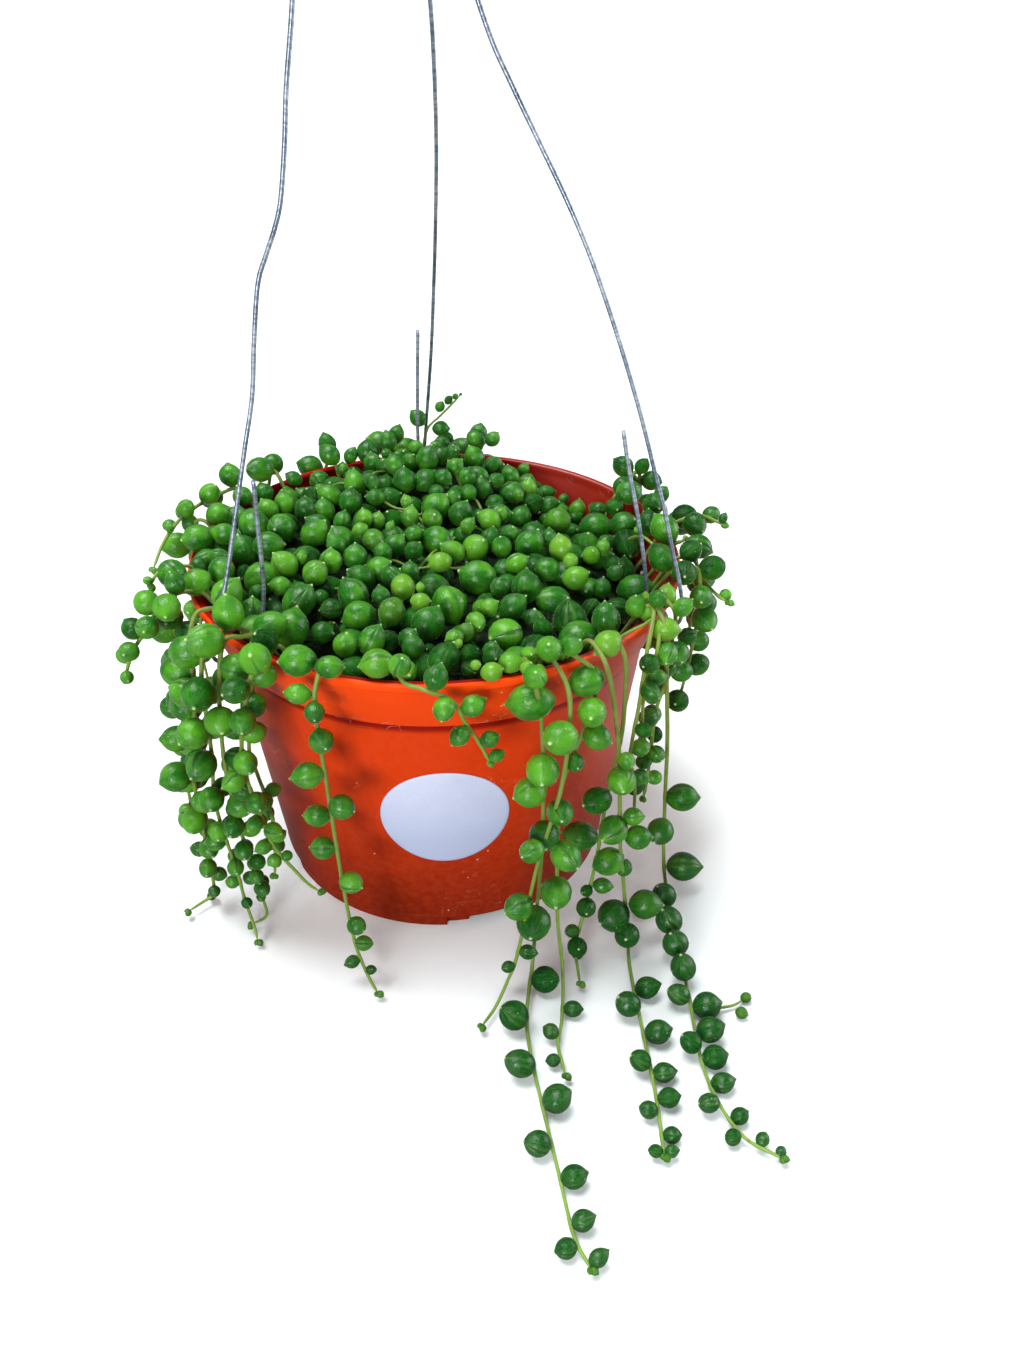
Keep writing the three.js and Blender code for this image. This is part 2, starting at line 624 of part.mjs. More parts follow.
const HOLLOW = [56, -33, 9];

function inHollow(x, y) {
  return Math.hypot(x - HOLLOW[0], y - HOLLOW[1]) < HOLLOW[2];
}

// How deep a pearl sinks into the nearest pearl of the mat.
function bite(centre, radius) {
  let best = 0;
  for (const ball of placed) {
    if (ball.owner !== 'pearl_mat') continue;
    best = Math.max(best, radius + ball.radius / 1.08 - centre.distanceTo(ball.centre));
  }
  return best;
}

// Pearls over a ring of the mat. The inner ones stand on the core, the outer ones hold on to those.
function matPearls({ seed, count, inner, outer, sizes, onCore }) {
  const draw = seeded(seed);
  const pearls = [];
  const golden = Math.PI * (3 - Math.sqrt(5));
  for (let k = 0; k < count; k += 1) {
    const spread = Math.sqrt(inner ** 2 + ((outer ** 2 - inner ** 2) * (k + 0.5)) / count);
    const size = THREE.MathUtils.lerp(sizes[0], sizes[1], draw());
    for (let t = 0; t < 18; t += 1) {
      const a = k * golden + (draw() - 0.5) * (t ? 0.2 : 0);
      const r = Math.min(outer, Math.max(inner, spread + (draw() - 0.5) * (t ? 8 : 0)));
      const radius = size * (t < 10 ? 1 : 0.85);
      const x = r * Math.cos(a);
      const y = r * Math.sin(a);
      const drop = (t < 6 ? 2 : 4) * draw() + (onCore ? 0 : 1.5);
      const centre = new THREE.Vector3(x, y, matTop(x, y) - radius - drop);
      const axis = new THREE.Vector3(draw() - 0.5, draw() - 0.5, 0.2 + 0.8 * draw());
      axis.addScaledVector(new THREE.Vector3(x, y, 0), 0.012).normalize();
      if (inHollow(x, y)) continue;
      if (onCore && centre.z - radius > coreTop(x * 0.95, y * 0.95) - 1.2) continue;
      if (!onCore && bite(centre, radius) < 0.8) continue;
      if (roomFor(centre, radius, 'pearl_mat', onCore ? 0.3 : 0.7)) {
        pearls.push({ centre, radius, axis });
        placed.push({ centre, radius: radius * 1.08, owner: 'pearl_mat', stem: false });
        break;
      }
    }
  }
  return pearls;
}

const MAT_ROOTS = [[20, 6], [-22, 20], [-6, -30]];

function buildMat(pearls) {
  const rings = [0, 19, 37, 51, 57.5, CORE_RADIUS];
  const profile = rings.map((r) => [r, SOIL_TOP + 10]).reverse();
  const geometry = turned([[0, SOIL_TOP + 0.3], [CORE_RADIUS, SOIL_TOP + 0.3], ...profile], 20);
  const spots = geometry.attributes.position;
  for (let i = 0; i < spots.count; i += 1) {
    if (spots.getZ(i) > SOIL_TOP + 5) spots.setZ(i, coreTop(spots.getX(i), spots.getY(i)));
  }
  let mat = solid(geometry);
  for (const [x, y] of MAT_ROOTS) mat = mat.add(post(1.6, SOIL_TOP - ROOT_DEPTH, SOIL_TOP + 3, x, y, 6));
  for (const pearl of pearls) mat = mat.add(pearlSolid(pearl));
  return mat;
}

// The largest body of a union, with scraps dropped.
function largest(body) {
  const bodies = body.decompose();
  bodies.sort((p, q) => q.volume() - p.volume());
  return bodies[0];
}

// ---------------------------------------------------------------- assembly
const plant = new THREE.Group();
plant.name = 'potted_string_of_pearls';
plant.add(named('pot', buildPot(), plastic));
plant.add(named('label', buildLabel(), paper));

for (const wire of WIRES) {
  const points = wireRoute(wire);
  const steps = points.length - 1;
  plant.add(named(wire.name, rod(wireCurve(points), WIRE_RADIUS, 5, steps), zinc));
  placeRod(route(points), WIRE_RADIUS, wire.name);
}
plant.add(named('ferrule', buildFerrule(), zinc));
plant.add(named('hanger_hook', buildHook(), zinc));

const stems = [...TRACED, ...UNSEEN.map(unseenStem)];
for (const stem of stems) {
  stem.points = [...overRim(stem.azimuth), ...stem.via];
  stem.path = route(stem.points);
  placeRod(stem.path, STEM_RADIUS, stem.name);
}
stems.forEach((stem, order) => {
  stem.pearls = stemPearls(stem, order);
});
stems.forEach((stem, order) => {
  if (stem.bushy) fillStem(stem, order);
  const steps = Math.round(1.2 * (stem.points.length - 1));
  let body = rod(wireCurve(stem.points), STEM_RADIUS, 3, steps);
  for (const pearl of stem.pearls) body = body.add(pearlSolid(pearl));
  plant.add(named(stem.name, largest(body), leaf));
});

const crown = [
  ...matPearls({ seed: 77, count: 270, inner: 0, outer: 61, sizes: [4.6, 6.2], onCore: true }),
  ...matPearls({ seed: 78, count: 90, inner: 61, outer: 69, sizes: [4.2, 5.4], onCore: false }),
];
plant.add(named('pearl_mat', largest(buildMat(crown)), leaf));

const holes = MAT_ROOTS.map(([x, y]) => [x, y, 1.6 * 1.42 + 0.4]);
for (const { azimuth } of stems) {
  const a = radians(azimuth);
  holes.push([ROOT_CIRCLE * Math.cos(a), ROOT_CIRCLE * Math.sin(a), STEM_RADIUS + 0.95]);
}
plant.add(named('soil', buildSoil(holes), earth));

export default plant;
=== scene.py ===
# %% [markdown]
# # A potted string of pearls
# The object is a trailing succulent in a tapered nursery pot of terracotta-coloured plastic, with a
# hanger of galvanised wire. The packed model gives the frame: every piece below sits where its solid
# sits, and only its surface is made finer. Lengths are in millimetres until they enter a mesh.

import math

import bpy
import numpy as np
from mathutils import Matrix


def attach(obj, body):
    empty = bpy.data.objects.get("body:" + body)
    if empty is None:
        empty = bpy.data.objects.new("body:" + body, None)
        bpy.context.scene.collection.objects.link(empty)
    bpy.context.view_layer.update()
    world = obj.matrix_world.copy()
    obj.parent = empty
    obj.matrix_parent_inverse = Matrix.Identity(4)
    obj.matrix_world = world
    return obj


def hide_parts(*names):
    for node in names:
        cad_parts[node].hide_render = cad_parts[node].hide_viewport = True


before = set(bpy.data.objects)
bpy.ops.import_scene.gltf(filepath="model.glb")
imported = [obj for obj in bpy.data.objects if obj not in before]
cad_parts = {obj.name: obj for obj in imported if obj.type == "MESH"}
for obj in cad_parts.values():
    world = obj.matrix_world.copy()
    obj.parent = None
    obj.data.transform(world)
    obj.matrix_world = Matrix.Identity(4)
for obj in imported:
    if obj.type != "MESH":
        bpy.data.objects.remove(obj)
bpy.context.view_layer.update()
MM = 0.001
scene = bpy.context.scene


def unit(v):
    """A direction, or each row of an array of them, brought to length one: v / |v|."""
    v = np.asarray(v, float)
    return v / np.linalg.norm(v, axis=-1, keepdims=True)


print("solids in the frame:", len(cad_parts))

# %% [markdown]
# ## Camera
# The picture looks down on the plants from close by, tilted about 34 degrees, so the rim is an open
# ellipse and the pot tapers away. The eye's place and tilt were solved from the rim, the collar, the
# foot and the label. AUTO sensor fit lays the 36 mm along the picture's long side.

# %% Camera
PICTURE = (1024, 1365)
FOCAL_PIXELS = 1108.0
EYE = np.array([0.0, -307.2, 266.7])
YAW, PITCH, ROLL = 0.0777, 0.6003, 0.0119


def eye_axes():
    """Right, up and forward of the eye: forward from yaw and pitch, then right and up turned by roll."""
    forward = np.array([math.sin(YAW) * math.cos(PITCH), math.cos(YAW) * math.cos(PITCH), -math.sin(PITCH)])
    level = np.array([math.cos(YAW), -math.sin(YAW), 0.0])
    upright = np.cross(level, forward)
    right = math.cos(ROLL) * level + math.sin(ROLL) * upright
    up = math.cos(ROLL) * upright - math.sin(ROLL) * level
    return right, up, forward


def make_camera():
    """A camera at the eye: the columns of its matrix are right, up and backward."""
    lens = bpy.data.cameras.new("eye")
    lens.sensor_fit = "AUTO"
    lens.sensor_width = 36.0
    lens.lens = lens.sensor_width * FOCAL_PIXELS / PICTURE[1]
    lens.clip_start, lens.clip_end = 0.01, 100.0
    camera = bpy.data.objects.new("eye", lens)
    scene.collection.objects.link(camera)
    right, up, forward = eye_axes()
    turn = np.eye(4)
    turn[:3, 0], turn[:3, 1], turn[:3, 2], turn[:3, 3] = right, up, -forward, EYE * MM
    camera.matrix_world = Matrix(turn.tolist())
    scene.camera = camera
    return camera


camera = make_camera()
print("lens", round(camera.data.lens, 2), "mm")

# %% [markdown]
# ## Floor
# The picture is a product shot on white that keeps only a soft shadow round the foot. The real
# backdrop sent little light back up, so the floor is white to the eye and grey to the pot. The Light
# Path node tells the two apart: it knows whether a ray comes from the camera.

# %% Floor
FLOOR_RADIUS = 30000.0


def floor_finish():
    """White where the eye looks at it, mid grey for light that bounces from it."""
    material = bpy.data.materials.new("pale_floor")
    material.use_nodes = True
    nodes, links = material.node_tree.nodes, material.node_tree.links
    path, mix, shader = nodes.new("ShaderNodeLightPath"), nodes.new("ShaderNodeMix"), nodes["Principled BSDF"]
    mix.data_type = "RGBA"
    mix.inputs[6].default_value = (0.28, 0.28, 0.28, 1)
    mix.inputs[7].default_value = (0.90, 0.97, 0.98, 1)
    links.new(path.outputs["Is Camera Ray"], mix.inputs[0])
    links.new(mix.outputs[2], shader.inputs["Base Color"])
    shader.inputs["Roughness"].default_value = 0.9
    shader.inputs["Specular IOR Level"].default_value = 0.0
    return material


def make_floor():
    """A disc of 96 corners at height zero, not part of the object."""
    around = np.linspace(0, 2 * math.pi, 96, endpoint=False)
    ring = np.stack([np.cos(around), np.sin(around), np.zeros(96)], 1) * FLOOR_RADIUS * MM
    mesh = bpy.data.meshes.new("floor")
    mesh.from_pydata(ring, [], [list(range(96))])
    floor = bpy.data.objects.new("floor", mesh)
    scene.collection.objects.link(floor)
    mesh.materials.append(floor_finish())


make_floor()
print("floor:", round(2 * FLOOR_RADIUS * MM), "m across")

# %% [markdown]
# ## Lights
# A soft sun over the pot's left shoulder lights the whole floor alike, so that it turns white
# everywhere but in the shadow. A window low in front lights the pot, a paler one at the right gives
# the edges their sheen, and a small lamp near the eye gives each pearl its bright spot.

# %% Lights
def hang_light(light, back, level, place=(0.0, 0.0, 0.0)):
    """Put a light at place (m) with its back turned to back: right = level x back, up = back x right."""
    lamp = bpy.data.objects.new(light.name, light)
    scene.collection.objects.link(lamp)
    back = unit(back)
    right = unit(np.cross(level, back))
    turn = np.eye(4)
    turn[:3, 0], turn[:3, 1], turn[:3, 2], turn[:3, 3] = right, np.cross(back, right), back, place
    lamp.matrix_world = Matrix(turn.tolist())


def soft_lamp(name, place, aim, size, power):
    """A square lamp of the given size (m) at place (m), turned to aim (m)."""
    light = bpy.data.lights.new(name, "AREA")
    light.shape, light.size, light.energy = "SQUARE", size, power
    hang_light(light, np.subtract(place, aim), (0.0, 0.0, 1.0), place)


def soft_sun(name, towards, spread, strength):
    """A sun standing in the direction towards, with a disc of spread degrees."""
    light = bpy.data.lights.new(name, "SUN")
    light.angle, light.energy = math.radians(spread), strength
    hang_light(light, towards, (0.0, 1.0, 0.0))


def white_world(horizon, overhead):
    """A white sky whose strength goes from horizon to overhead between 9 and 30 degrees of height."""
    world = bpy.data.worlds.new("white_room")
    world.use_nodes = True
    tree = world.node_tree
    sky = tree.nodes["Background"]
    place = tree.nodes.new("ShaderNodeTexCoord")
    parts = tree.nodes.new("ShaderNodeSeparateXYZ")
    fade = tree.nodes.new("ShaderNodeMapRange")
    fade.interpolation_type = "SMOOTHSTEP"
    sky.inputs["Color"].default_value = (1.0, 1.0, 1.0, 1.0)
    fade.inputs["From Min"].default_value, fade.inputs["From Max"].default_value = 0.15, 0.5
    fade.inputs["To Min"].default_value, fade.inputs["To Max"].default_value = horizon, overhead
    tree.links.new(place.outputs["Generated"], parts.inputs["Vector"])
    tree.links.new(parts.outputs["Z"], fade.inputs["Value"])
    tree.links.new(fade.outputs["Result"], sky.inputs["Strength"])
    scene.world = world


scene.view_settings.view_transform = "Standard"
white_world(0.29, 0.20)
soft_sun("key", (-0.26, 0.13, 1.0), 38.0, 3.8)
soft_lamp("front_window", (-0.45, -1.3, 0.44), (0.0, 0.0, 0.09), 0.50, 15.5)
soft_lamp("small_lamp", (-0.12, -0.85, 0.98), (0.0, 0.0, 0.09), 0.08, 1.2)
soft_lamp("side_window", (1.3, 0.15, 0.35), (0.0, 0.0, 0.07), 0.9, 12.0)

# %% [markdown]
# ## Rings into skins
# Every piece here is a stack of closed rings: the pot's profile turned about its axis, a round section
# carried along a wire, the circles of latitude of a pearl. One helper turns any such stack into faces,
# and one puts points and faces into a mesh. Both work on whole arrays.

# %% Rings into skins
def skin(rings, head="pole", tail="pole"):
    """Points and faces of a stack of rings, shape (rows, columns, 3), joined into one closed skin.

    Row r, column c is joined to the next row and the next column, the last column to the first. Each
    end is closed by a pole, the mean of its ring, or by one flat face. The faces look outwards where
    the rings turn anticlockwise about the way the stack runs.
    """
    rows, columns = rings.shape[:2]
    points = rings.reshape(-1, 3)
    r, c = np.arange(rows - 1)[:, None] * columns, np.arange(columns)[None, :]
    n = (c + 1) % columns
    faces = np.stack([r + c, r + n, r + columns + n, r + columns + c], -1).reshape(-1, 4).tolist()
    for end, first, flip in ((head, 0, False), (tail, (rows - 1) * columns, True)):
        ring = np.arange(columns) + first
        if end == "flat":
            faces.append((ring if flip else ring[::-1]).tolist())
        if end == "pole":
            pole = np.full(columns, len(points))
            points = np.vstack([points, points[ring].mean(0)])
            fan = (ring, np.roll(ring, -1), pole) if flip else (np.roll(ring, -1), ring, pole)
            faces += np.stack(fan, -1).tolist()
    return points, faces


def turned_over(points, faces):
    """A skin whose faces look the other way: each keeps its first corner and runs round backwards."""
    return points, [face[:1] + face[:0:-1] for face in faces]


def new_piece(name, parts, replaces=(), level=0):
    """A smooth mesh object from parts, riding on the part's one body, with its places in its mesh.

    Each part is (points in mm, faces, material, marks), where marks maps the name of a point attribute
    to its values. level adds a subdivision surface.
    """
    mesh = bpy.data.meshes.new(name)
    counts = [len(part[0]) for part in parts]
    starts = np.cumsum([0] + counts[:-1])
    faces = [[i + start for i in face] for part, start in zip(parts, starts) for face in part[1]]
    mesh.from_pydata(np.vstack([part[0] for part in parts]) * MM, [], faces)
    for mark in sorted(set().union(*(part[3] for part in parts))):
        values = [np.broadcast_to(part[3].get(mark, 0.0), n) for part, n in zip(parts, counts)]
        layer = mesh.attributes.new(mark, "FLOAT", "POINT")
        layer.data.foreach_set("value", np.concatenate(values).astype(np.float32))
    for part in parts:
        mesh.materials.append(part[2])
    worn = np.repeat(np.arange(len(parts)), [len(part[1]) for part in parts])
    mesh.polygons.foreach_set("material_index", worn)
    mesh.polygons.foreach_set("use_smooth", np.ones(len(faces), bool))
    piece = bpy.data.objects.new(name, mesh)
    scene.collection.objects.link(piece)
    if level:
        finer = piece.modifiers.new("finer", "SUBSURF")
        finer.levels = finer.render_levels = level
    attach(piece, "root")
    if replaces:
        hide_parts(*replaces)
    return piece


def circle(count, start=0.0):
    """Unit directions round a circle, shape (count, 2)."""
    a = start + np.arange(count) * 2 * math.pi / count
    return np.stack([np.cos(a), np.sin(a)], 1)


print("three rings of four points make", len(skin(np.zeros((3, 4, 3)))[1]), "faces")

# %% [markdown]
# ## Shader helpers
# A finish is a small node tree. `Tree` adds a node and links its inputs in one call, so a material
# reads from top to bottom like a recipe.

# %% Shader helpers
class Tree:
    """A node tree that is written as calls: add() makes a node and links or sets its inputs."""

    def __init__(self, tree):
        self.tree = tree

    def add(self, kind, inputs=None, **settings):
        """A node of a kind, with its settings, its inputs linked where a socket is given."""
        node = self.tree.nodes.new("ShaderNode" + kind)
        for setting, value in settings.items():
            setattr(node, setting, value)
        for name, value in (inputs or {}).items():
            if isinstance(value, bpy.types.NodeSocket):
                self.tree.links.new(value, node.inputs[name])
            else:
                node.inputs[name].default_value = value
        return node

    def math(self, operation, a, b=0.0, c=0.0, clamp=False):
        """One step of arithmetic; plus, minus and times are its short forms."""
        return self.add("Math", {0: a, 1: b, 2: c}, operation=operation, use_clamp=clamp).outputs[0]

    def plus(self, a, b):
        return self.math("ADD", a, b)

    def minus(self, a, b):
        return self.math("SUBTRACT", a, b)

    def times(self, a, b):
        return self.math("MULTIPLY", a, b)

    def between(self, value, low, high, to_low=0.0, to_high=1.0):
        """value moved from the range low..high to to_low..to_high, smoothly and clamped."""
        settings = {"Value": value, "From Min": low, "From Max": high, "To Min": to_low, "To Max": to_high}
        return self.add("MapRange", settings, interpolation_type="SMOOTHSTEP").outputs[0]

    def blend(self, share, first, second):
        """Two colours mixed by a share from 0 to 1."""
        return self.add("Mix", {0: share, 6: first, 7: second}, data_type="RGBA").outputs[2]

    def tint(self, colour, mask, share, target):
        """A colour moved towards a target by a share of a mask."""
        return self.blend(self.times(mask, share), colour, (*target, 1))

    def mark(self, name):
        """A point attribute of the piece."""
        return self.add("Attribute", attribute_name=name).outputs["Fac"]

    def place(self):
        """The piece's own coordinates, which are the part's, in metres."""
        return self.add("TexCoord").outputs["Object"]

    def group(self, effect, **values):
        """A shared effect placed here with its own values."""
        node = self.add("Group", node_tree=effect)
        for name, value in values.items():
            node.inputs[name].default_value = value
        return node.outputs[0]


def new_finish(name):
    """A material, its tree and its Principled shader."""
    material = bpy.data.materials.new(name)
    material.use_nodes = True
    tree = Tree(material.node_tree)
    return material, tree, material.node_tree.nodes["Principled BSDF"]


def dress(tree, shader, **values):
    """Links or sets the shader's inputs: keys are input names with _ for a space."""
    for name, value in values.items():
        socket = shader.inputs[name.replace("_", " ")]
        if isinstance(value, bpy.types.NodeSocket):
            tree.tree.links.new(value, socket)
        else:
            socket.default_value = value


def bump(tree, height, distance, strength=1.0):
    """A normal from a height field, distance in metres."""
    given = {"Height": height, "Distance": distance, "Strength": strength}
    return tree.add("Bump", given).outputs["Normal"]


print("a tree can:", [name for name in vars(Tree) if name[0] != "_"])

# %% [markdown]
# ## Shared effects
# Three effects are used by several finishes and are built once as groups: `mottle` (soft uneven tone),
# `specks` (scattered dots) and `scuffs` (thin broken scratches). Each puts out one value from 0 to 1.

# %% Shared effects
def effect(name, inputs, output):
    """An empty node group with float inputs (name: default) and one float output."""
    group = bpy.data.node_groups.new(name, "ShaderNodeTree")
    for label, default in inputs.items():
        socket = group.interface.new_socket(label, in_out="INPUT", socket_type="NodeSocketFloat")
        socket.default_value = default
    group.interface.new_socket(output, in_out="OUTPUT", socket_type="NodeSocketFloat")
    given, out = group.nodes.new("NodeGroupInput").outputs, group.nodes.new("NodeGroupOutput").inputs[0]
    return group, Tree(group), given, out


def make_mottle():
    """Soft uneven tone from 0 to 1: fractal noise on the piece's own coordinates, Scale per metre."""
    group, tree, given, out = effect("mottle", {"Scale": 60.0, "Low": 0.35, "High": 0.65}, "Tone")
    settings = {"Vector": tree.place(), "Scale": given["Scale"], "Detail": 3.0, "Roughness": 0.55}
    noise = tree.add("TexNoise", settings).outputs["Fac"]
    group.links.new(tree.between(noise, given["Low"], given["High"]), out)
    return group


def make_specks():
    """Scattered round dots: near the middle of a few cells of a 3-D Voronoi pattern. Share is how many."""
    group, tree, given, out = effect("specks", {"Scale": 400.0, "Size": 0.2, "Share": 0.2}, "Mask")
    cells = tree.add("TexVoronoi", {"Vector": tree.place(), "Scale": given["Scale"], "Randomness": 1.0})
    chance = tree.add("SeparateColor", {0: cells.outputs["Color"]}).outputs[0]
    near = tree.math("LESS_THAN", cells.outputs["Distance"], given["Size"])
    picked = tree.math("LESS_THAN", chance, given["Share"])
    group.links.new(tree.times(near, picked), out)
    return group


def make_scuffs():
    """Thin broken scratches: the zero line of one noise, kept only where a broader noise is high."""
    group, tree, given, out = effect("scuffs", {"Scale": 60.0, "Width": 0.01, "Share": 0.5}, "Mask")
    place = tree.place()
    fine = tree.add("TexNoise", {"Vector": place, "Scale": given["Scale"], "Detail": 1.0, "Distortion": 1.5})
    off = tree.math("ABSOLUTE", tree.minus(fine.outputs["Fac"], 0.5))
    line = tree.math("LESS_THAN", off, given["Width"])
    broad = tree.add("TexNoise", {"Vector": place, "Scale": 55.0, "Detail": 2.0}).outputs["Fac"]
    kept = tree.math("GREATER_THAN", broad, tree.minus(1.0, given["Share"]))
    group.links.new(tree.times(line, kept), out)
    return group


MOTTLE, SPECKS, SCUFFS = make_mottle(), make_specks(), make_scuffs()
print("groups:", [g.name for g in bpy.data.node_groups])

# %% [markdown]
# ## The pot
# A nursery pot is one thin moulding: a plain cone, a collar that steps out near the top, a rolled lip,
# and a skirt at the foot with gaps that let water away. Its profile is turned about the axis. The gaps
# are not cut afterwards: the skirt's lower rings are simply lifted over the angles where a gap is. The
# three wire holes and the drain holes are drilled by one Boolean, which is then applied.

# %% The pot
FOOT_RADIUS, FOOT_DEPTH, FLOOR_TOP = 55.6, 3.0, 5.0
LIP_RADIUS, POT_HEIGHT = 75.0, 107.0
WIRE_AZIMUTHS = (-28.0, -141.5, 93.0)
WIRE_HOLE_HEIGHT, WIRE_HOLE_RADIUS = 97.4, 1.6
DRAIN_RADIUS, DRAIN_CIRCLE, DRAIN_HOLES = 3.0, 40.0, 6
GAP_START, GAP_SWEEP, PAD_SWEEP, GAPS = -90.3, 28.0, 7.6, 4
OUTER_WALL = [
    (FOOT_RADIUS, 0), (66.6, 88.6), (68.4, 89.0), (74.3, 104.1), (LIP_RADIUS, 104.6),
    (LIP_RADIUS, POT_HEIGHT),
]
INNER_WALL = [(72.5, POT_HEIGHT), (72.4, 104.2), (66.7, 89.2), (65, 88), (54.1, FLOOR_TOP)]
WALL = np.array(OUTER_WALL + INNER_WALL, float)


def softened(profile, radius):
    """A profile whose inner corners are rounded by short quadratic curves that start radius away."""
    p = np.array(profile, float)
    ahead = np.diff(p, axis=0)
    length = np.linalg.norm(ahead, axis=1)
    step = ahead / length[:, None]
    cut = np.minimum(radius, 0.4 * np.minimum(length[:-1], length[1:]))[:, None]
    before, corner, after = p[1:-1] - step[:-1] * cut, p[1:-1], p[1:-1] + step[1:] * cut
    t = np.array([0.0, 0.33, 0.67, 1.0])[:, None, None]
    arcs = (1 - t) ** 2 * before + 2 * t * (1 - t) * corner + t**2 * after
    return np.vstack([p[:1], arcs.transpose(1, 0, 2).reshape(-1, 2), p[-1:]])


def turned(profile, angles):
    """Rings of a profile of (radius, height) turned about the axis: x = r cos a, y = r sin a."""
    profile = np.asarray(profile, float)
    r, z = profile[:, 0, None], profile[:, 1, None]
    return np.stack([r * np.cos(angles), r * np.sin(angles), z + 0 * angles], -1)


def gap_share(angles, start, sweep):
    """1 over the angles (degrees) of each skirt gap and 0 elsewhere, with steep sides."""
    turn = (angles - start) % (360.0 / GAPS)
    return np.clip(np.minimum(turn, sweep - turn) / 0.35 + 0.5, 0, 1)


def pot_rings():
    """The pot's rings from the middle of its underside round to the middle of its floor."""
    edges = [s + GAP_START + k * 360.0 / GAPS for k in range(GAPS) for s in (0, PAD_SWEEP, GAP_SWEEP)]
    steep = [e + d for e in edges for d in (-0.2, 0.2)]
    degrees = np.unique(np.concatenate([np.arange(0, 360, 2.0), np.mod(steep, 360)]))
    under = [(0.5, FOOT_DEPTH), (16, FOOT_DEPTH), (50.5, FOOT_DEPTH)]
    skirt = [(50.5, 0), (53.95, 0), (54.05, 0), (FOOT_RADIUS, 0)]
    outside = [(56.2, 4.2), (56.45, 4.6), (56.3, 5.0), *OUTER_WALL[1:]]
    inside = [*INNER_WALL, (30, FLOOR_TOP), (0.5, FLOOR_TOP)]
    upper = softened([skirt[-1], *outside, *inside], 0.9)[1:]
    rings = turned([*under, *skirt, *upper], np.radians(degrees))
    first = len(under)
    behind_pad = gap_share(degrees, GAP_START + PAD_SWEEP, GAP_SWEEP - PAD_SWEEP)
    rings[first:first + 2, :, 2] += FOOT_DEPTH * behind_pad
    rings[first + 2:first + 4, :, 2] += FOOT_DEPTH * gap_share(degrees, GAP_START, GAP_SWEEP)
    return rings


print("pot profile:", len(WALL), "corners; rings and points:", pot_rings().shape[:2])

# %% [markdown]
# ## The pot's holes
# Three holes in the collar take the wires and six in the base let water out. Each is a short round bar
# of its own. All the bars are one cutter mesh, and the Boolean's result replaces the pot's mesh.

# %% The pot's holes
def drills():
    """One mesh of all the cutters: a short round bar for each drain hole and each wire hole."""
    points, faces, bars, round_one = [], [], [], circle(16)
    for k in range(DRAIN_HOLES):
        a = math.radians((k + 0.5) * 360 / DRAIN_HOLES)
        foot = np.array([DRAIN_CIRCLE * math.cos(a), DRAIN_CIRCLE * math.sin(a), -2.0])
        bars.append((foot, np.eye(3), DRAIN_RADIUS, FLOOR_TOP + 4))
    for degrees in WIRE_AZIMUTHS:
        c, s = math.cos(math.radians(degrees)), math.sin(math.radians(degrees))
        axes = np.array([[-s, c, 0], [0, 0, 1], [c, s, 0]])
        bars.append((np.array([64 * c, 64 * s, WIRE_HOLE_HEIGHT]), axes, WIRE_HOLE_RADIUS, 14.0))
    for foot, axes, radius, length in bars:
        ring = foot + radius * round_one @ axes[:2]
        body, sides = skin(np.stack([ring, ring + length * axes[2]]), "flat", "flat")
        base = sum(len(p) for p in points)
        points.append(body)
        faces += [[i + base for i in face] for face in sides]
    return np.vstack(points), faces


def drilled(piece):
    """The piece with the drills taken away, as a finished mesh."""
    points, faces = drills()
    mesh = bpy.data.meshes.new("drills")
    mesh.from_pydata(points * MM, [], faces)
    cutter = bpy.data.objects.new("drills", mesh)
    scene.collection.objects.link(cutter)
    cut = piece.modifiers.new("cut", "BOOLEAN")
    cut.operation, cut.object, cut.solver = "DIFFERENCE", cutter, "EXACT"
    finished = bpy.data.meshes.new_from_object(piece.evaluated_get(bpy.context.evaluated_depsgraph_get()))
    piece.modifiers.clear()
    piece.data = finished
    bpy.data.objects.remove(cutter)
    return piece


print("cutters:", DRAIN_HOLES + len(WIRE_AZIMUTHS))
